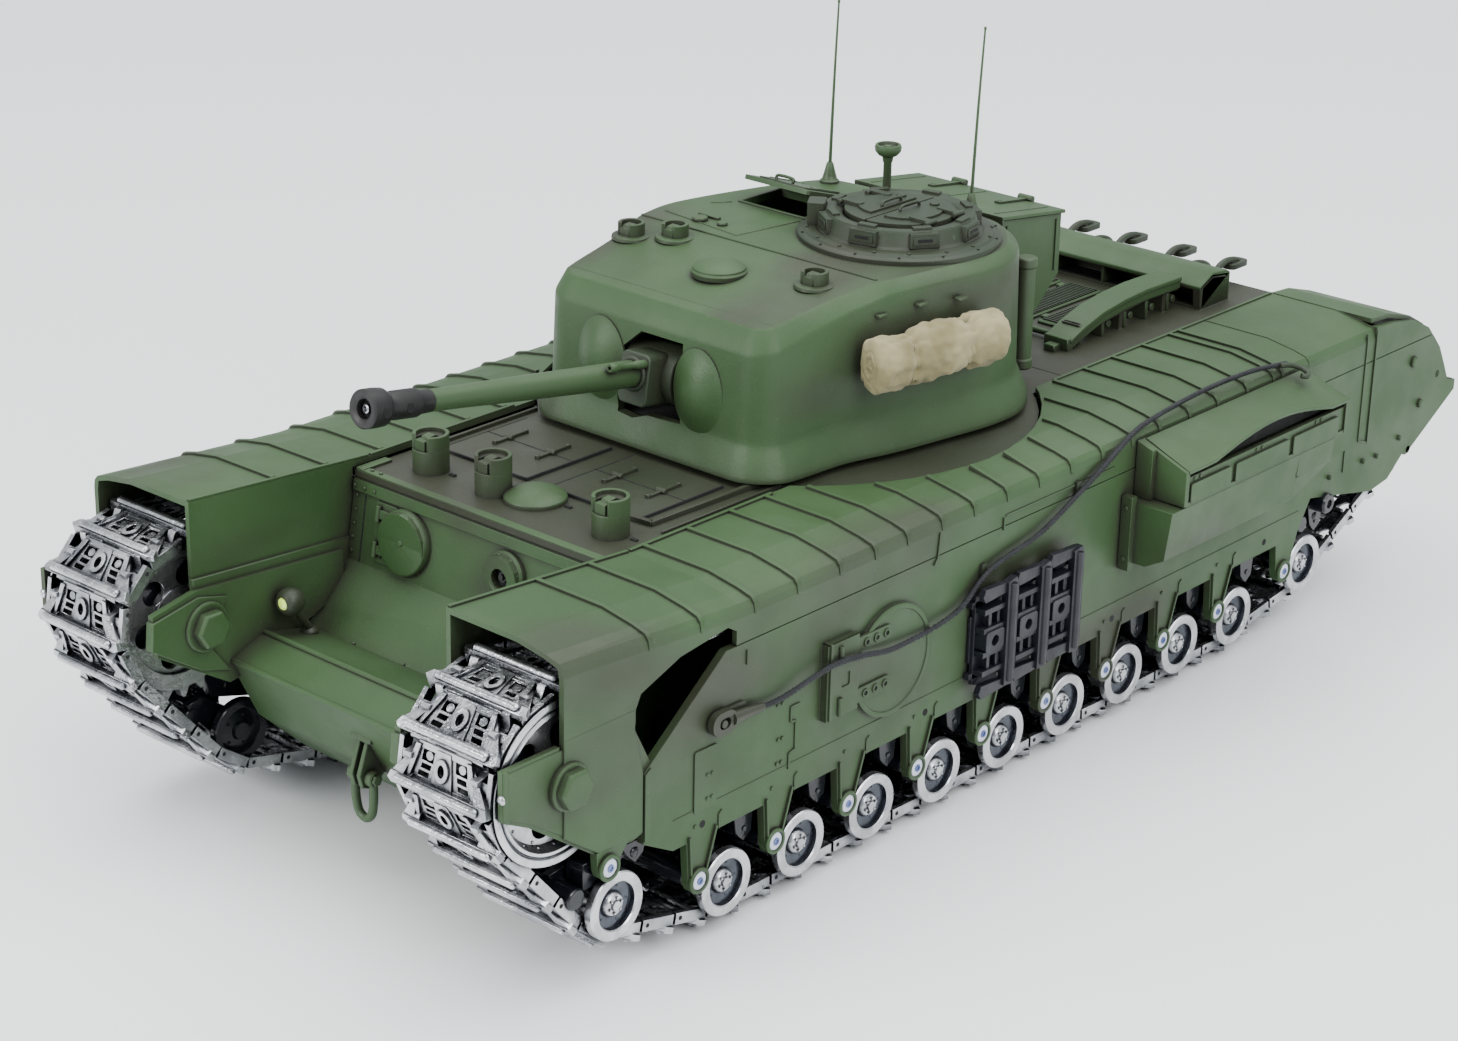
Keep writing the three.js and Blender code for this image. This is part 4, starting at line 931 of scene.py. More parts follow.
def build_hull_roof():
    stands, roof, shade_marks = Shape(), Shape(), Shape()
    for x, y in ((-33.5, 11.5), (-9, 11.8), (34.8, 12.4)):
        periscope(stands, x, y, 93.2, 11.4, 5.2)
    stands.lathe("z", (3, 16), [(0, 97.4), (3, 97.2), (5.8, 96.4), (7.9, 95.4), (8.8, 94.6), (8.9, 94),
                                (8.9, 93.2), (0, 93.2)], 44)
    stands.box((-48.6, 48.6), (-3.1, -0.4), (92.6, 93.9))
    stands.box((-48.6, -45.6), (-3, 8), (93.2, 94.2))
    for x in (-47, -43.5, -40):
        stands.hexbolt("z", (x, -1.4), 0.6, 93.8, 0.6)
    piece("sight_stands", stands, "hull", PAINT_CLEAN, bevel=0.28, segments=2)
    roof.frame = shade_marks.frame = DECK_FACE
    # Black strips round the hatches are painted shade in their gaps.
    for x0, x1 in ((-42.5, -8.5), (0.5, 34)):
        shade_marks.place = 0
        for points in ([(x0, 24), (x1, 24)], [(x0, 24), (x0, 58)], [(x1, 24), (x1, 58)],
                       [(x0, 42.3), (x1, 42.3)]):
            strip(shade_marks, points, 0.5, 0.85)
        for xc in (x0 + 8.5, x1 - 8.5):
            strip(roof, [(xc, 36.5), (xc, 49.5)], 1.4, 1.7)
            roof.rod("x", (42.3, 1.3), 0.9, (xc - 1.6, xc + 1.6), 12)
            roof.dome("z", (xc, 36.8), 0.9, 1.6, 0.4, 10)
            roof.dome("z", (xc, 49.2), 0.9, 1.6, 0.4, 10)
        roof.prism("z", rounded(x0 + 15, x0 + 19, 30, 33, 1, 3), (0.7, 1.5))
    strip(roof, [(39.8, 66), (38.6, 24.2), (20, 22.4)], 1.5, 1.5)
    strip(roof, [(44.6, 70), (44.6, 22)], 0.8, 0.9)
    strip(roof, [(-46.5, 22), (-46.5, 66)], 1, 1.1)
    # Small black slots for painted shade.
    for x, y in ((-27, 12), (-2.5, 12.5), (41.3, 13), (12.5, 17.5)):
        shade_marks.box((x, x + 2.2), (y, y + 1), (0, 0.5))
    piece("hull_hatch_fittings", roof, "hull", PAINT_DECK, bevel=0.2)
    piece("hull_hatch_gap_shade", shade_marks, "hull", SHADE_BLACK, bevel=0)


def build_engine_deck():
    deck = Shape()
    deck.prism("x", [(283.6, 93.4), (300.4, 93.4), (300.4, 103), (298, 104.2), (290, 104.9), (283, 101.4),
                     (283, 100.2), (290, 103.2),
                     (297, 102.4), (298.6, 101.4), (298.6, 94)], (-40, 40))
    for x in (-40, -20, 0, 20, 38.8):
        deck.prism("x", [(284.4, 93.4), (299, 93.4), (299, 102), (290, 103.4), (284.4, 100.8)], (x, x + 1.2))
    for side in (-1, 1):
        x = side * 29
        top = [(221, 96.5), (228, 99.2), (238, 101.9), (250, 103.4), (262, 104), (281.5, 103.6)]
        deck.prism("x", top + [(y, z - 3.6) for y, z in top[::-1]], (x - 4.4, x + 4.4))
        deck.prism("x", [(y, z + 0.5) for y, z in top] + [(y, z - 1) for y, z in top[::-1]], (x - 4.9, x + 4.9))
        for y in (228, 240, 252, 264, 276):
            deck.box((x - 3.6, x + 3.6), (y - 0.8, y + 0.8), (93.2, 100))
            deck.rod("x", (y + 4, 96.4), 1.3, (x - 3, x + 3), 10)
        deck.box((x - 4.6, x + 4.6), (219.5, 222.5), (93.2, 97.4))
        deck.box((x - 2, x + 2), (216, 220), (93.2, 95.6))
    deck.rod("x", (226, 95.2), 1, (-22, 22), 12)
    for x in (-16, 0, 16):
        deck.prism("z", rounded(x - 6.6, x + 6.6, 236, 276, 1.2, 3), (93.3, 94.3))
        for y in (241, 271):
            deck.box((x - 7.6, x - 5.4), (y - 1.5, y + 1.5), (93.3, 94.9))
    for x in (-11, 11):
        deck.prism("z", rounded(x - 9, x + 9, 206, 219, 1.2, 3), (93.3, 94.2))
    piece("engine_deck_fittings", deck, "hull", PAINT, bevel=0.25)
    grille = Shape()
    for k in range(26):
        y = 238 + 1.45 * k
        for x in (-16, 0, 16):
            grille.box((x - 5.6, x + 5.6), (y, y + 0.7), (94.2, 94.75))
    piece("engine_deck_grilles", grille, "hull", PAINT_DARK, bevel=0)
    # Black sheets for painted shade under the tail cowl.
    dark = Shape()
    dark.box((-38.8, 38.8), (285.5, 298), (93.5, 94))
    dark.box((-38.8, 38.8), (296.9, 297.5), (94, 101.6))
    piece("cowl_inside_shade", dark, "hull", SHADE_BLACK, bevel=0)
    hooks = Shape()
    for x in (-30, -10, 10, 30):
        hooks.box((x - 2.2, x + 2.2), (303, 312), (93.2, 95.2))
        hooks.tube(smooth_path([(x, 306, 95), (x, 308, 99.6), (x, 313, 101.4), (x, 319, 100.6), (x, 322, 98.6)],
                               5), 1.15, 10)
        hooks.prism("z", rounded(x - 2.8, x + 2.8, 313.4, 323.4, 2, 4), (98.6, 100.4),
                    [rounded(x - 1, x + 1, 316, 321, 0.9, 3)])
    for x in (-20, 20):
        hooks.rod("x", (308, 98.6), 1, (x - 12, x + 12), 12)
        ring = [(u, v, 96.2 + (v - 310.6) / 2.3) for u, v in circle((x, 310.6), 4.6, 28)]
        hooks.tube(ring, 0.95, 8, closed=True)
    piece("tow_hooks", hooks, "hull", PAINT_DARK, bevel=0.25)


def build_tail():
    tail = Shape()
    tail.prism("x", [(318, 24), (343.6, 44.6), (345.2, 44), (319, 22.6)], (-48.4, 48.4))
    for x in (-34, 34):
        tail.prism("x", [(338, 44), (349, 47), (351, 52), (349, 56), (342, 57)], (x - 1.4, x + 1.4))
        tail.rod("x", (346.6, 51), 2.4, (x - 4, x + 4), 20)
    tail.prism("y", rounded(-12, 12, 46, 62, 2, 4), (342.8, 344.6))
    for x, z in ((-10, 48), (10, 48), (-10, 60), (10, 60)):
        tail.hexbolt("y", (x, z), 0.9, 344.5, 0.6)
    for x in (-28, 28):
        tail.lathe("y", (x, 60), [(0, 342.8), (5, 342.8), (5, 345.6), (4.2, 346.4), (3.6, 345.6), (3.4, 343.4),
                                  (0, 343.4)], 28)
    piece("tail_fittings", tail, "hull", PAINT, bevel=0.3, segments=2)
    arms = Shape()
    arms.lathe("x", (364.7, 60.2), [(0, 87.4), (2, 87.4), (2, 89.6), (0, 89.9)], 18)
    arms.rod("x", (354, 66.5), 1.5, (85.6, 90), 14)
    arms.rod("x", (339.4, 43.4), 1.5, (85.6, 90), 14)
    both("tail_brackets", arms, "hull", PAINT_DARK, bevel=0.2)


# ---- air louvres, cable, spare links

def build_louvres():
    box = Shape()
    top_z, low_z = 90.6, 84.2
    arch = [(y, 82.8 + 6.2 * max(0, sin(pi * (y - 186) / 80)) ** 1.2) for y in range(186, 267, 4)]
    edge = [(180, low_z)] + [(y, max(low_z, z)) for y, z in arch] + [(268, low_z)]
    inner = [(180, top_z)] + [(y, top_z) for y, _ in arch] + [(268, top_z - 1.5)]
    upper = [(91, y, z) for y, z in inner] + [(107, y, z) for y, z in edge[::-1]]
    count = len(upper)
    points = upper + [(x, y, z - 1) for x, y, z in upper]
    half = count // 2
    faces = []
    for i in range(half - 1):
        a, b, c, d = i, i + 1, count - 2 - i, count - 1 - i
        faces += [(a, b, c, d), (d + count, c + count, b + count, a + count)]
    for i in range(count):
        j = (i + 1) % count
        faces.append((i, i + count, j + count, j))
    box.add(points, faces)
    box.prism("y", [(90.4, 90.4), (106.8, 84), (106.8, 73.2), (90.4, 73.2)], (178.6, 180.6))
    box.prism("y", [(90.4, 89), (106.8, 83.6), (106.8, 73.2), (90.4, 73.2)], (266.4, 268))
    box.box((104.6, 106.1), (180, 267), (73.2, 81.8))
    box.box((90.4, 106.6), (180, 267), (72.8, 74.2))
    for y0, y1 in ((181.6, 202.8), (205.2, 234.4), (236.8, 262.6)):
        box.prism("x", rounded(y0, y1, 73.8, 79.8, 0.8, 2), (105.9, 107))
    for y in (184, 187, 217, 220, 250, 253):
        box.hexbolt("x", (y, 80.9), 0.6, 105.9, 0.6)
    box.prism("y", [(90.4, 73), (106.6, 72.8), (104.8, 57.4), (98.2, 53.8), (90.4, 53.8)], (173, 242))
    box.prism("y", [(90.4, 73), (106.6, 72.8), (105.9, 65), (97, 62.5), (90.4, 62.5)], (241.8, 261.6))
    box.add([(90.4, 242, 53.8), (98.2, 242, 53.8), (104.8, 242, 57.4), (105.6, 242, 64.6), (90.4, 242, 64.6),
             (90.4, 261.4, 62.6), (98.2, 261.4, 62.6), (104.8, 261.4, 63.6), (105.6, 261.4, 66.6),
             (90.4, 261.4, 66.6)],
            [(0, 1, 2, 3, 4), (9, 8, 7, 6, 5), (0, 5, 6, 1), (1, 6, 7, 2), (2, 7, 8, 3), (3, 8, 9, 4),
             (4, 9, 5, 0)])
    box.prism("y", [(90.3, 75), (94, 75), (94, 51.8), (90.3, 51.8)], (170.6, 173.2))
    box.prism("y", [(90.3, 90.4), (96, 88.6), (96, 73), (90.3, 73)], (176.6, 178.8))
    box.rod("z", (104.2, 174.6), 0.7, (58.4, 71.6), 8)
    for z in (55.5, 71.5):
        box.hexbolt("y", (92.2, z), 0.7, 170.7, -0.6)
    both("air_intake", box, "hull", PAINT, "air_louvre")
    dark = Shape()
    dark.prism("x", [(190, 81.9), (263, 81.9), (258, 84.4), (248, 86.4), (233, 87.4), (216, 86), (200, 83.6)],
               (97, 103.4))
    both("air_intake_shadow", dark, "hull", SHADE_BLACK, bevel=0)


CABLE = [(91.9, -1, 63.4), (92, 16.1, 62.4), (93.6, 34.9, 66), (94, 48, 65), (93.4, 63, 62.4), (92, 89.9, 63.3),
         (92, 105, 71.6), (92, 128.3, 76), (91.8, 146.9, 83), (91.6, 160, 88.4), (91, 172, 93.4),
         (90.2, 182, 95),
         (88.6, 202, 95.7), (87.8, 222, 95.8), (88.6, 240, 95.7), (90.4, 256, 94.6)]


def build_tow_cable():
    core = smooth_path(CABLE, 14)
    rope = Shape()
    rope.tube(core, 0.55, 8)
    lengths = [0]
    for a, b in zip(core, core[1:]):
        lengths.append(lengths[-1] + (b - a).length)
    for strand in range(4):
        path = []
        for i, p in enumerate(core):
            along = (core[min(i + 1, len(core) - 1)] - core[max(i - 1, 0)]).normalized()
            out = (Vector((0, 0, 1)) - along * along.z).normalized()
            other = along.cross(out)
            a = lengths[i] * 1.15 + pi / 2 * strand
            path.append(p + (out * cos(a) + other * sin(a)) * 0.46)
        rope.tube(path, 0.42, 6)
    piece("tow_cable_strands", rope, "hull", ROPE, bevel=0, angle=60, stands_for=("tow_cable",))
    eye = Shape()
    eye.prism("x", rounded(-10.4, -1.2, 60, 66.6, 3.2, 6), (90.7, 92.8),
              [rounded(-7.8, -3.6, 61.8, 64.8, 1.45, 5)])
    eye.tube([(91.8, -2.4, 63.3), (91.9, 2, 63.2), (92, 9.5, 62.6)], 1.5, 16, radii=[1.9, 1.6, 1.15])
    eye.rod("x", (-6.2, 63.3), 1.1, (90.2, 93.2), 14, 0.2)
    eye.prism("x", rounded(-4.6, 4.2, 60.6, 66, 1.2, 3), (90.1, 90.9))
    for y, z in ((36.5, 66.2), (104, 71.2), (147.5, 83.6)):
        eye.box((90.1, 91), (y - 1, y + 1), (z - 2.2, z + 2.2))
    hook = [(90.6, 252, 94.8), (91.6, 256.5, 94.2), (93.8, 259.5, 93), (96.4, 259.3, 92), (97.4, 257, 91.8),
            (96.4, 255.4, 92.2)]
    eye.tube(smooth_path(hook, 5), 0.85, 10)
    piece("tow_cable_eye", eye, "hull", PAINT_DARK, bevel=0.2)


def build_spare_links():
    links = Shape()
    for i in range(3):
        y0 = 98.8 + 15.6 * i
        lift = 1.4 * i
        for z in (37, 66.4):
            z += lift * 0.4
            links.prism("x", [(y0 + 0.4, z - 2), (y0 + 13.2, z - 1.3), (y0 + 14.6, z), (y0 + 13.2, z + 1.3),
                              (y0 + 0.4, z + 2), (y0 - 0.8, z)], (93.6, 95.6))
        links.prism("x", [(y0 + 9.8, 36.4), (y0 + 13.6, 36), (y0 + 14.6, 39), (y0 + 14.6, 66), (y0 + 13.6, 69),
                          (y0 + 9.8, 68)], (94, 96.4))
        links.rod("z", (96.2, y0 + 12.2), 1.2, (37.4, 67.4), 12)
        for z in (42.4, 48.2, 55.4, 61.2):
            links.box((92, 95.4), (y0 + 0.6, y0 + 10), (z - 0.8, z + 0.8))
        for z in (45.3, 58.3):
            links.box((91.6, 94.8), (y0 + 3.2, y0 + 4.6), (z - 3, z + 3))
            links.box((91.6, 94.8), (y0 + 7.2, y0 + 8.4), (z - 3, z + 3))
        links.prism("x", rounded(y0 + 1.2, y0 + 9.6, 48.6, 55, 1.4, 4), (91.6, 95.9),
                    [circle((y0 + 5.4, 51.8), 1.6, 14)])
        links.box((90.9, 92.2), (y0 + 0.2, y0 + 12.8), (38.5, 65.5))
        links.add([(92, y0 + 0.4, 38.4), (92, y0 + 9.6, 36.8), (95, y0 + 9.6, 36.8), (92, y0 + 9.6, 43.8)],
                  [(0, 1, 2), (0, 2, 3), (0, 3, 1), (1, 3, 2)])
        links.add([(92, y0 + 0.4, 65.4), (92, y0 + 9.6, 67.2), (95, y0 + 9.6, 67.2), (92, y0 + 9.6, 60.4)],
                  [(0, 2, 1), (0, 3, 2), (0, 1, 3), (1, 2, 3)])
    links.box((90.3, 92.2), (97.6, 146.2), (40.2, 42))
    links.box((90.3, 92.2), (97.6, 146.2), (62, 63.8))
    links.box((90.3, 91.2), (98.4, 145.6), (45, 59))
    piece("spare_link_rack", links, "hull", SPARE, bevel=0.25, stands_for=("spare_links",))


# ---- turret

WALL_FOOT = [
    (0, 64), (22, 64), (34, 64), (39, 65.6), (42.5, 69), (44, 74), (45.6, 93), (50, 110), (53.5, 130),
    (56, 148),
    (54.5, 162), (46, 175), (34, 184), (16, 186), (0, 186), (-16, 186), (-32, 184), (-40, 174), (-46, 157),
    (-51, 138), (-53, 124), (-51, 110), (-46.4, 93), (-44, 74), (-42.5, 69), (-39, 65.6), (-34, 64), (-22, 64)]


def roof_height(y):
    return ROOF_Z - max(0, ROOF_BREAK_Y - y) * ROOF_SLOPE


def bevel_height(y):
    forward = min(1, max(0, (ROOF_BREAK_Y - y) / 46))
    return roof_height(y) - 3 - 3 * forward


def wall_plan():
    plan = [tuple(p) for p in smooth_path(WALL_FOOT, 7, closed=True)]
    for i, (x, y) in enumerate(plan):
        if y < 66.5 and abs(x) < 35:
            plan[i] = (x, 64)
    return plan


def offset_plan(plan, distance):
    made, spots = [], [Vector(p) for p in plan]
    for i, (x, y) in enumerate(plan):
        a = spots[i] - spots[i - 1]
        b = spots[(i + 1) % len(spots)] - spots[i]
        a = a.normalized() if a.length > 1e-6 else b.normalized()
        b = b.normalized() if b.length > 1e-6 else a
        normal = Vector((a.y + b.y, -a.x - b.x)).normalized()
        made.append((x + normal.x * distance, y + normal.y * distance))
    return made


def turret_solid(name, stations):
    """A solid through the wall's plan at (offset, height) stations, its top folded at the roof break."""
    plan = wall_plan()
    rings = [[(x, y, height(y) if callable(height) else height) for x, y in offset_plan(plan, distance)]
             for distance, height in stations]
    count = len(plan)
    shape = Shape().loft(rings, capped=False)
    top = (len(rings) - 1) * count
    a, b = sorted(min(range(count), key=lambda i: abs(rings[-1][i][1] - ROOF_BREAK_Y)
                      + (0 if rings[-1][i][0] * side > 0 else 1e3)) for side in (-1, 1))
    rear = [top + i for i in range(a, b + 1)]
    front = [top + i for i in [*range(b, count), *range(a + 1)]]
    shape.faces += [list(range(count))[::-1], rear, front]
    shape.places += [0, 0, 0]
    return new_mesh(name, shape)


def build_turret_shell():
    shell = turret_solid("turret_casting", [
        (3.9, TURRET_Z), (3.9, TURRET_Z + 0.8), (3.7, 96.8), (3.2, 98.2), (1.9, 101), (0.9, 103.2),
        (0.35, 104.4), (0.1, 105.4),
        (0, 107), (-0.4, lambda y: (106 + bevel_height(y)) / 2), (-0.85, lambda y: bevel_height(y) - 1),
        (-0.98, lambda y: bevel_height(y) - 0.25), (-1.3, lambda y: bevel_height(y) + 0.35),
        (-3.9, lambda y: roof_height(y) - 0.62), (-4.5, lambda y: roof_height(y) - 0.14), (-5.4, roof_height)])
    inside = turret_solid("tool", [
        (1, TURRET_Z - 2), (-2.4, 104.5), (-3.6, lambda y: bevel_height(y) - 1),
        (-7.4, lambda y: roof_height(y) - 2)])
    aperture = [(-3.5, 128.5), (12.3, 128.5), (12.3, 105), (0, 104.5), (-5, 102.7), (-11, 103.2),
                (-12.6, 109.4), (-12.6, 120.8)]
    cut_with(shell, inside, new_mesh("tool", Shape().prism("y", aperture, (55, 69))),
             new_mesh("tool", Shape().box((-34, -9.5), (141.5, 159.5), (138, 150))),
             new_mesh("tool", Shape().rod("z", CUPOLA, 14, (138, 150), 40)))
    shell.data.materials.clear()
    shell.data.materials.append(PAINT_CAST)
    shell.data.materials.append(PAINT_ROOF)
    for polygon in shell.data.polygons:
        centre = polygon.center / MM
        polygon.material_index = 1 if polygon.normal.z > 0.8 and centre.z > 128 else 0
    finished(shell, 0.2, 28, 1)
    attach(shell, "turret")
    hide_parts("turret_shell")

    cheeks = Shape()
    for spot in ((18.5, 115.5), (-18.5, 116.5)):
        rings = [[(u, 64.9, v) for u, v in oval(spot, 9.2, 13.2, 40)]]
        for i in range(13):
            reach = 1 - i / 12.5
            rise = 3.5 * (1 - reach ** 2) ** 1.35
            rings.append([(u, 64.25 - rise, v) for u, v in oval(spot, 9.2 * reach, 13.2 * reach, 40)])
        cheeks.loft(rings)
    piece("turret_cheeks", cheeks, "turret", PAINT_CAST, bevel=0, angle=60)

    roof, shade_marks = Shape(), Shape()
    for x, y in ((31, 98.5), (-26, 102.8), (-38, 97)):
        base = roof_height(y) - 0.6
        roof.lathe("z", (x, y), [(0, base), (6, base), (5.8, base + 1), (4.9, base + 1.3), (0, base + 1.3)], 30)
        periscope(roof, x, y, base, 4.9, 4)
    base = roof_height(91) - 0.7
    roof.lathe("z", (2, 91), [(0, base), (8, base), (8.2, base + 1.5), (7.6, base + 2), (7.6, base + 2.5),
                              (6.4, base + 3.3),
                              (3.6, base + 4.1), (0, base + 4.4)], 40)
    roof.tube([(x, ROOF_BREAK_Y, ROOF_Z + 0.02) for x in range(-46, 46, 2)], 0.42, 8)
    for points in ([(-44, 118), (-12, 114), (-8, 140)], [(-40, 134), (-36, 139)]):
        roof.tube([(x, y, ROOF_Z + 0.02) for x, y in points], 0.3, 6)
    piece("turret_roof_fittings", roof, "turret", PAINT_ROOF, bevel=0.2)
    rim = Shape()
    rim.prism("z", [(-35, 140.5), (-8.5, 140.5), (-8.5, 160), (-35, 160)], (143.8, 144.5),
              [[(-34, 141.5), (-9.5, 141.5), (-9.5, 159.4), (-34, 159.4)]])
    rim.rod("z", (-30, 118), 2.4, (143.8, 145.2), 20, 0.3)
    rim.rod("z", (-22, 119), 1.6, (143.8, 145), 16, 0.3)
    rim.box((-34, -26), (121.5, 123), (143.8, 144.8))
    piece("turret_hatch_rim", rim, "turret", PAINT_ROOF, bevel=0.2)
    rack = Shape()
    rack.rod("z", (42.3, 183.4), 2.8, (99.5, 134), 22, 0.5)
    rack.rod("z", (42.3, 183.4), 3.2, (131, 134.4), 22, 0.5)
    rack.rod("z", (42.3, 183.4), 3.2, (99.4, 103), 22, 0.5)
    for z in (108, 124):
        rack.box((35, 43), (181, 183), (z - 1.2, z + 1.2))
    for y, z in ((106.7, 135.6), (120.5, 136.4), (134.5, 135.6)):
        x = 45.6 + (y - 93) * 0.235
        rack.box((x - 1.4, x + 0.9), (y - 1.9, y + 1.9), (z - 0.5, z + 0.5))
    for y in (92, 106, 122):
        x = 44.8 + (y - 93) * 0.24
        rack.box((-x - 1.6, -x + 0.8), (y - 1.6, y + 1.6), (133.4, 134.2))
    piece("turret_side_fittings", rack, "turret", PAINT_CLEAN, bevel=0.2)
    # A black box for painted shade inside the gun opening.
    opening_shade = Shape()
    opening_shade.prism("y", [(-15, 131), (15, 131), (15, 101), (-15, 101)], (86, 87))
    opening_shade.prism("y", [(-16, 131), (-13.2, 131), (-13.2, 101), (-16, 101)], (68.6, 87))
    opening_shade.prism("y", [(13.2, 131), (16, 131), (16, 101), (13.2, 101)], (68.6, 87))
    opening_shade.prism("y", [(-15, 102), (15, 102), (15, 100), (-15, 100)], (68.6, 87))
    piece("gun_opening_shade", opening_shade, "turret", SHADE_BLACK, bevel=0)


def build_gun():
    raised = Matrix.Translation(TRUNNION) @ Matrix.Rotation(-GUN_ELEVATION, 4, "X")
    block = Shape(raised)
    block.prism("y", rounded(-4.6, 6, -8.2, 6.8, 1.8, 5), (-13.8, -1))
    block.lathe("x", (0, 0), [(0, -9.6), (8.2, -9.6), (8.5, -9.2), (8.5, 9.2), (8.2, 9.6), (0, 9.6)], 36)
    block.lathe("y", (0, 0.6), [(4.1, -14.6), (5, -14.6), (5.2, -13.6), (4.1, -13.6), (4.1, -14.6)], 30)
    piece("mantlet_block", block, "gun", PAINT_MANTLET, bevel=0.35, segments=2,
          stands_for=("mantlet",))
    coax = Shape(raised)
    coax.lathe("y", (4.2, 4.4), [(0.55, -27.6), (0.55, -28.2), (1.1, -28.2), (1.35, -27.6), (1.35, -25.2),
                                 (0.95, -24.6), (0.95, -18),
                                 (1.25, -17.4), (1.25, -13), (0, -13), (0, -27), (0.55, -27)], 18)
    profile = [(0, -94), (3, -94), (3.12, -80), (3.45, -60), (3.75, -30), (3.95, -14), (3.95, 12), (0, 12)]
    coax.lathe("y", (0, 0.6), profile, 40)
    piece("gun_tube", coax, "gun", PAINT_CLEAN, bevel=0, angle=40, stands_for=("gun_barrel",))
    brake = Shape(raised)
    c = (0, 0.6)
    brake.lathe("y", c, [(2.7, -113), (2.7, -115.2), (3.6, -115.9), (4.8, -115.9), (5.25, -115.4),
                         (5.3, -112.2), (5.1, -109.6),
                         (4.6, -108.8), (3.7, -108.2), (3.7, -106), (3.9, -105.6), (3.9, -98), (3.7, -97.4),
                         (3.3, -96.4), (3.1, -92.5),
                         (3, -92.4), (0, -92.4), (0, -113)], 40)
    piece("muzzle_brake", brake, "gun", GUNMETAL, bevel=0, angle=40)
    # Black discs for painted shade in the brake's side openings and inside its mouth.
    port_shade = Shape(raised)
    for side in (-1, 1):
        port_shade.rod("x", (-111.8, 0.6), 1.5, (side * 4.9, side * 5.36), 18)
        port_shade.rod("x", (-102.4, 0.6), 1.3, (side * 3.5, side * 3.96), 18)
    port_shade.rod("y", c, 2.7, (-112.6, -113.1), 24)
    piece("muzzle_port_shade", port_shade, "gun", SHADE_BLACK, bevel=0)
    bore = Shape(raised)
    bore.lathe("y", c, [(0, -113), (1.2, -113), (1.2, -114.6), (0.8, -114.8), (0.5, -114.2), (0, -114.2)], 20)
    piece("muzzle_tip", bore, "gun", SILVER, bevel=0)


def build_cupola():
    x, y = CUPOLA
    ring, shade_marks = Shape(), Shape()
    ring.lathe("z", CUPOLA, [(14.2, 143.7), (29.9, 143.7), (30, 145.3), (29.2, 145.9), (28.2, 146),
                             (27.6, 146.6), (25.2, 146.9),
                             (24.2, 146.7), (23.6, 147), (23, 147.6), (22.2, 151.2), (21.6, 151.9),
                             (20.4, 152.1), (19.4, 151.9),
                             (17.2, 151.1), (16.6, 150.4), (16.6, 149.4), (14.2, 149.4), (14.2, 143.7)], 72)
    for k in range(8):
        ring.frame = shade_marks.frame = Matrix.Translation((x, y, 0)) @ Matrix.Rotation(tau * k / 8 + 0.2, 4, "Z")
        ring.prism("x", [(-4.6, 147.2), (4.6, 147.2), (4.2, 151.5), (-4.2, 151.5)], (20.8, 23.7))
        ring.prism("x", [(-3.6, 148.2), (3.6, 148.2), (3.4, 150.6), (-3.4, 150.6)], (23.2, 24))
        # Black slots for painted shade in the vision blocks.
        shade_marks.box((23.7, 24.08), (-2.2, 2.2), (149, 149.9))
        ring.box((19.2, 21.4), (-2.8, 2.8), (151.6, 152.7))
        for v in (-5.6, 5.6):
            ring.hexbolt("z", (26.6, v), 0.6, 146.6, 0.5)
    turn = Matrix.Rotation(radians(214), 4, "Z")
    ring.frame = Matrix.Translation((x, y, 0)) @ turn @ Matrix.Translation((24.4, 0, 0))
    ring.prism("z", rounded(-2.6, 2.6, -3.6, 3.6, 0.8, 3), (145.6, 153.4))
    shade_marks.frame = Matrix.Identity(4)
    # Small black squares round the rim for painted shade.
    for u, v in circle(CUPOLA, 28.9, 14):
        shade_marks.box((u - 0.3, u + 0.3), (v - 0.3, v + 0.3), (145.2, 146.2))
    piece("cupola_casting", ring, "turret", PAINT_BROWN, bevel=0.18, stands_for=("cupola_ring",))
    piece("cupola_slot_shade", shade_marks, "turret", SHADE_BLACK, bevel=0)
    leaf = Shape()
    for centre, radius, count, ends in (((0.3, 0), 16.1, 48, (149.9, 152.3)),
                                        ((2.4, 0), 10.6, 40, (152.1, 153))):
        leaf.prism("z", circle(centre, radius, count, -pi / 2)[:count // 2 + 1], ends)
    for v in (-6.5, 6.5):
        leaf.prism("z", rounded(9, 16.2, v - 1.3, v + 1.3, 0.6, 2), (152.2, 153.4))
        leaf.rod("y", (16.2, 152.6), 0.8, (v - 2.4, v + 2.4), 12)
    leaf.tube(smooth_path([(3.4, v, z) for v, z in ((-4.4, 152.4), (-3.6, 154.2), (3.6, 154.2), (4.4, 152.4))],
                          5), 0.5, 8)
    leaf.rod("z", (6.2, 8.2), 1.5, (152.9, 153.7), 16, 0.2)
    for side, made in (("left", leaf), ("right", leaf.mirrored())):
        name = f"cupola_leaf_{side}"
        lid = Shape(Matrix.Translation((x, y, 0))).include(made)
        piece(f"{name}_lid", lid, name, PAINT_BROWN, bevel=0.25, segments=2, stands_for=(name,))
    sight = Shape()
    sight.lathe("z", (-0.3, 168.7), [(0, 144.2), (2.2, 144.2), (2.2, 146.4), (1.5, 147), (1.3, 148.4),
                                     (1.25, 157.6), (1.5, 158),
                                (1.7, 159.4), (2.9, 160), (3.9, 161.2), (4.1, 162.4), (3.8, 163.2),
                                (3.1, 163.2), (2.8, 162.3),
                                (1.4, 161.9), (1.2, 162.8), (0, 162.9)], 30)
    piece("sight_post", sight, "turret", PAINT_CLEAN, bevel=0, angle=40)


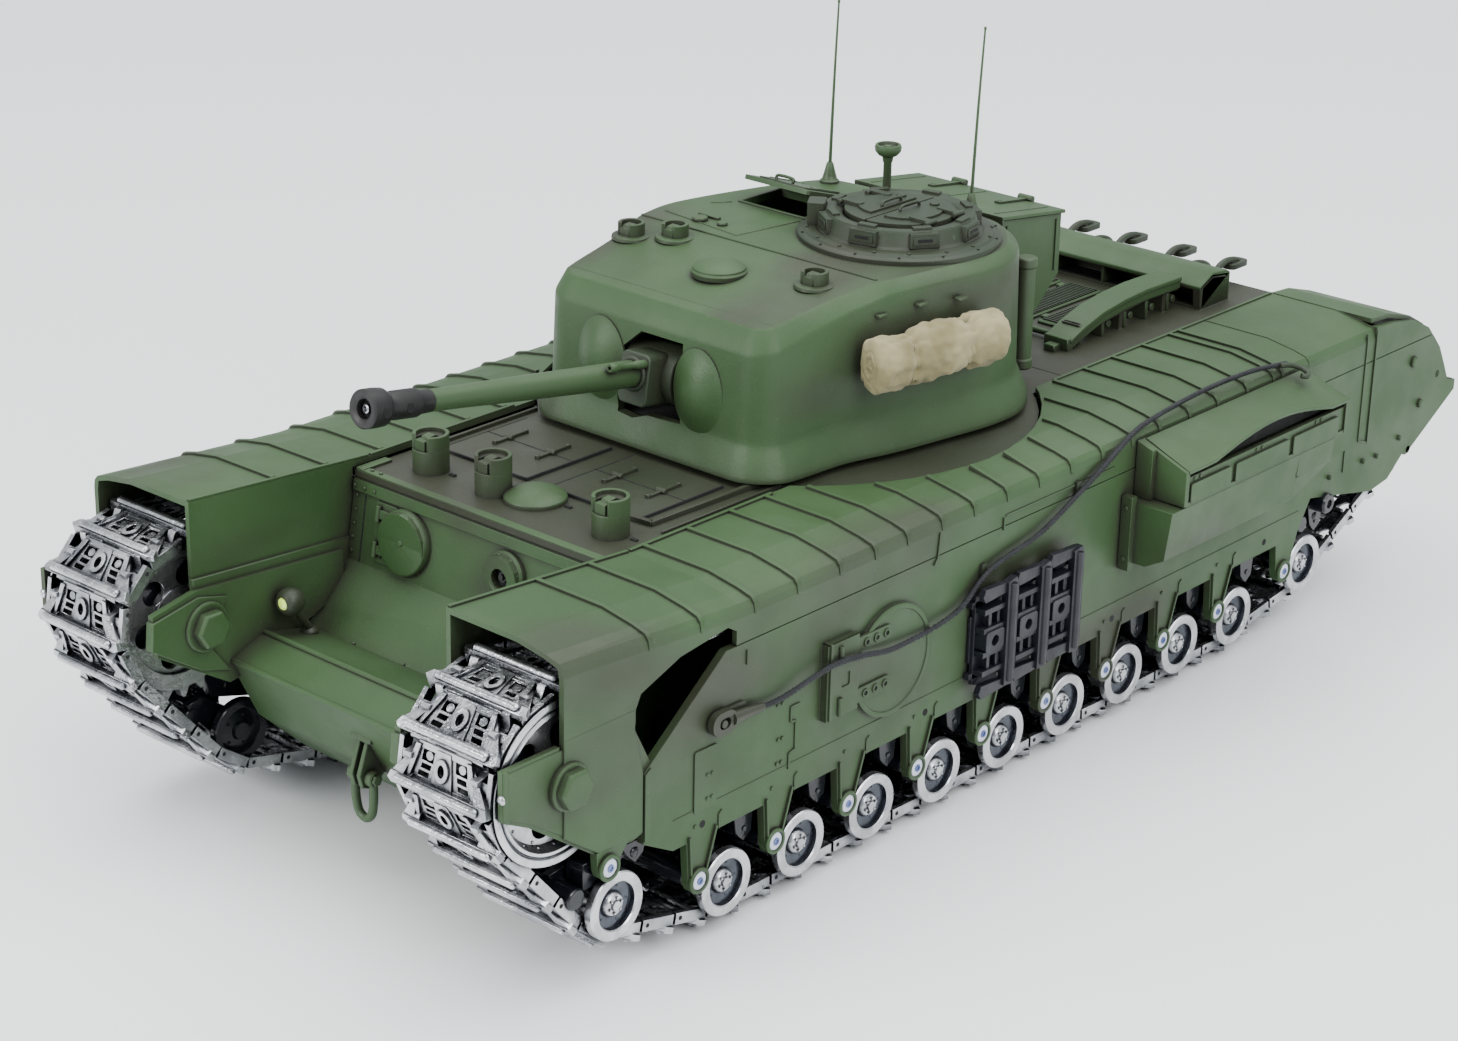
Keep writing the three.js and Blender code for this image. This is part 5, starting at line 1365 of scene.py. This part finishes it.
def build_loader_hatch():
    lid = Shape(Matrix.Translation((0, 161.5, 145)) @ Matrix.Rotation(radians(-17), 4, "X"))
    lid.prism("z", rounded(-34.8, -9, -20, -0.2, 1.4, 4), (0.1, 1.5))
    lid.prism("z", rounded(-31.5, -12.3, -17.2, -3, 1.4, 4), (1.4, 2))
    for x in (-30, -14):
        lid.prism("z", rounded(x - 1.4, x + 1.4, -12, -0.3, 0.2, 2), (1.4, 2.2))
        lid.rod("x", (-0.4, 1.3), 0.8, (x - 2.8, x + 2.8), 14)
    lid.tube(smooth_path([(-25, -16, 1.8), (-25, -16, 3.4), (-19, -16, 3.4), (-19, -16, 1.8)], 5), 0.5, 8)
    piece("loader_hatch_lid", lid, "loader_hatch", PAINT, segments=2, stands_for=("loader_hatch",))


def build_bin():
    can = Shape()
    section = [(189.4, 106), (189.4, 141), (220, 137), (220, 118), (209.4, 108.5), (200, 106)]
    inside = [(190.6, 107.2), (190.6, 141.4), (218.8, 137.6), (218.8, 118.6), (208.9, 109.9), (199.6, 107.2)]
    for x0, x1 in ((-28, -26.8), (26.8, 28)):
        can.prism("x", section, (x0, x1))
    for i in (0, 2, 3, 4, 5):
        j = (i + 1) % len(section)
        can.prism("x", [section[i], section[j], inside[j], inside[i]], (-27.2, 27.2))
    edges = Shape(on_face((28, 0, 0), (1, 0, 0), (0, 0, 1)))
    strip(edges, [(192, 108.6), (192, 138.6)], 0.8, 0.5)
    strip(edges, [(217.4, 119.6), (217.4, 135.6)], 0.8, 0.5)
    can.include(edges.doubled())
    for x in (-14, 14):
        can.rod("x", (220.6, 127.5), 1, (x - 3.4, x + 3.4), 12)
    can.box((-17, 17), (219.8, 220.9), (120.5, 121.7))
    for x in (-20, 20):
        can.box((x - 3, x + 3), (186.4, 189.8), (112, 124))
        can.hexbolt("y", (x, 121), 0.9, 186.5, -0.6)
    piece("stowage_bin", can, "turret", PAINT_CLEAN, bevel=0.3, segments=2, stands_for=("turret_bin",))
    lid = Shape()
    y0, y1 = 188.4, 220.8

    def edge(v):
        return 141.3 - (v - 189.4) * 4 / 30.6

    def slab(v0, v1, low, high, high_end, ends):
        lid.prism("x", [(v0, edge(v0) + low), (v0, edge(v0) + high), (v1, edge(v1) + high_end),
                        (v1, edge(v1) + low)], ends)

    slab(y0, y1, 0, 1.1, 1.1, (-28.9, 28.9))
    front = edge(y0)
    lid.box((-28.9, 28.9), (y0, y0 + 0.8), (front - 1.6, front + 0.4))
    for x in (-12, 14):
        slab(205.4, y1, 1, 1.8, 1.9, (x - 1.1, x + 1.1))
        lid.rod("x", (y1 - 0.5, edge(y1) + 1.7), 1.2, (x - 2.6, x + 2.6), 14)
        lid.dome("z", (x, 206.6), 0.8, edge(206.6) + 1.6, 0.7, 10)
    for x in (-24, 0, 24):
        slab(191, 218, 1, 1.3, 1.3, (x - 0.4, x + 0.4))
    piece("stowage_bin_lid", lid, "bin_lid", PAINT, bevel=0.25, segments=2, stands_for=("bin_lid",))


def build_tarps():
    """Rolled tarpaulins: a lumpy roll pinched by its ties, with the cloth's edge and folds in its ends."""
    lean = 0.17
    rings_count, sides, length = 84, 72, 50
    shape = Shape()
    rings = []
    for i in range(rings_count + 1):
        t = i / rings_count
        pinch = sum(exp(-((t - c) / w) ** 2) * d for c, w,
                    d in ((0.28, 0.028, 0.17), (0.71, 0.028, 0.17), (0.50, 0.04, 0.05)))
        edge = min(t, 1 - t) * length
        end = sqrt(max(0, 1 - max(0, 1 - edge / 2.2) ** 2.4))
        end = 0.62 + 0.38 * end
        ring = []
        for k in range(sides):
            a = tau * k / sides
            lump = noise.noise(Vector((cos(a) * 1.4, sin(a) * 1.4, t * 6.5 + 3))) * 0.15
            fold = noise.noise(Vector((cos(a) * 3.6, sin(a) * 3.6, t * 18))) * 0.10
            near = exp(-((t - 0.27) / 0.10) ** 2) + exp(-((t - 0.72) / 0.10) ** 2)
            gather = sin(a * 9 + 2.5 * sin(t * 9)) * 0.05 * near
            seam = -0.07 * exp(-((a - 2.2 - 0.25 * sin(t * 7)) / 0.09) ** 2)
            r = (1 - pinch + lump + fold + gather + seam) * end
            u, v = 5.5 * r * cos(a), 8.1 * r * sin(a)
            if u < -3.6:
                u = -3.6 + (u + 3.6) * 0.3
            ring.append((u, v, t * length))
        rings.append(ring)
    shape.loft(rings, capped=False)
    for base, t_sign in ((0, 1), (rings_count * sides, -1)):
        previous = list(range(base, base + sides))
        for step in range(1, 7):
            scale = 1 - step / 7
            swirl = 0.5 * step
            start = len(shape.points)
            for k in range(sides):
                u, v, w = rings[0 if t_sign > 0 else -1][k]
                dent = 0.9 * sin(step * 1.9) + 0.35 * sin(3 * atan2(v, u) + swirl)
                shape.points.append(Vector((u * scale, v * scale,
                                            w + t_sign * (0.25 * step * 0.4 + 0.35 * dent))))
            current = list(range(start, start + sides))
            for k in range(sides):
                shape.faces.append((previous[k], previous[(k + 1) % sides], current[(k + 1) % sides],
                                    current[k]))
                shape.places.append(0)
            previous = current
        shape.faces.append(tuple(previous))
        shape.places.append(0)
    straps = Shape()
    for c in (0.28, 0.71):
        at = round(c * rings_count)
        outer = [(u * 1.03 + 0.05, v * 1.03) for u, v, _ in rings[at]]
        inner = [(u * 0.9, v * 0.9) for u, v, _ in rings[at]]
        straps.prism("z", outer, (c * length - 0.9, c * length + 0.9), [inner])
    scale = 1 / hypot(1, lean)
    wall = Matrix(((scale, 0, lean * scale, 53.4), (-lean * scale, 0, scale, 96), (0, -1, 0, 124),
                   (0, 0, 0, 1)))
    for side, body_name in ((1, "left"), (-1, "right")):
        roll, tie = Shape(), Shape()
        roll.include(shape, wall)
        tie.include(straps, wall)
        if side < 0:
            roll, tie = roll.mirrored(), tie.mirrored()
        obj = piece(f"tarpaulin_{body_name}", roll, "turret", CANVAS, bevel=0, angle=80,
                    stands_for=(f"tarp_roll_{body_name}",))
        obj.modifiers.new("smooth", "SUBSURF").levels = 1
        piece(f"tarpaulin_ties_{body_name}", tie, "turret", CANVAS, bevel=0.1)


def build_antennas():
    for side, x, y, lean in (("right", -29.5, 177, 1.5), ("left", 22.4, 181, 2)):
        foot = Shape()
        foot.lathe("z", (x, y), [(0, 143.8), (3, 143.8), (3, 144.6), (2.4, 145), (2, 146.4), (1.5, 148.2),
                                 (1.1, 149.8), (0.7, 150.4), (0, 150.4)], 24)
        path = smooth_path([(x, y, 149.6), (x + lean * 0.25, y, 166), (x + lean * 0.55, y, 182),
                            (x + lean, y, 200.6)], 8)
        foot.tube(path, 0.5, 8, radii=[0.55 - 0.25 * i / (len(path) - 1) for i in range(len(path))])
        foot.rod("z", (x + lean, y), 0.42, (200.2, 201), 8)
        piece(f"antenna_{side}_whip", foot, "turret", PAINT_CLEAN, bevel=0, angle=50,
              stands_for=(f"antenna_{side}",))


# ---- inside

def build_inside():
    pack = Shape()
    pack.prism("y", rounded(-22, 22, 18, 40, 2.5, 5), (110, 180))
    pack.tube(smooth_path([(0, 180, 34), (4, 186, 38), (12, 192, 52), (14, 202, 66), (10, 206, 70.5)], 8), 1.4,
              10)
    pack.box((6, 14), (204, 209), (71, 74.6))
    piece("battery_pack", pack, "hull", BLACK, bevel=0.3, stands_for=("battery",))
    board = Shape()
    board.prism("z", rounded(-24, 24, 200, 260, 2, 4), (69.5, 71.1),
                [circle((px, py), 1.2, 10) for px, py in ((-20, 206), (20, 206), (-20, 254), (20, 254))])
    board.place = 1
    for x, y, w, d, h in ((-12, 214, 10, 8, 2.4), (6, 222, 10, 8, 2.4), (-4, 238, 10, 8, 2.4),
                          (10, 244, 6, 6, 4), (-19, 226, 4, 8, 3), (-18, 242, 5, 4, 2)):
        board.box((x, x + w), (y, y + d), (71, 71 + h))
    board.place = 2
    for x, y in ((-20, 206), (20, 206), (-20, 254), (20, 254)):
        board.rod("z", (x, y), 1.8, (17.7, 69.4), 12)
        board.dome("z", (x, y), 1.8, 71.1, 0.9, 12)
    piece("control_board_parts", board, "hull", [BOARD, BLACK, SILVER], bevel=0.1,
          stands_for=("control_board",))
    drive = Shape()
    drive.prism("x", rounded(300, 338, 46, 62, 2, 4), (6, 40))
    for y in (304, 319, 334):
        drive.rod("x", (y, 59), 1.4, (5.4, 40.6), 12)
    drive.rod("x", SPROCKET, 3, (38, 46.6), 20, 0.3)
    drive.place = 1
    drive.lathe("x", (296, 44), [(0, 8), (5, 8), (5, 9), (10.4, 9.2), (11, 10.4), (11, 36), (10.4, 37.4),
                                 (6, 37.6), (6, 38), (0, 38)], 36)
    both("gearbox_parts", drive, "hull", [GUNMETAL, SILVER], "gearbox", bevel=0.2)


build_guards()
build_side_details()
build_horn_details()
build_hull_front()
build_headlight()
build_hull_roof()
build_engine_deck()
build_tail()
build_louvres()
build_tow_cable()
build_spare_links()
build_turret_shell()
build_gun()
build_cupola()
build_loader_hatch()
build_bin()
build_tarps()
build_antennas()
build_inside()


# ---- carried-over pieces

CARRIED = {"hull_roof": PAINT_DECK, "engine_deck": PAINT_DECK}
for name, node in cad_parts.items():
    if node.hide_render:
        continue
    node.data.materials.clear()
    node.data.materials.append(CARRIED.get(name, PAINT))
    weld = node.modifiers.new("weld", "WELD")
    weld.merge_threshold = 0.00001
    edges = node.modifiers.new("edges", "BEVEL")
    edges.width = 0.0003
    edges.segments = 2
    edges.limit_method = "ANGLE"
    edges.angle_limit = radians(40)
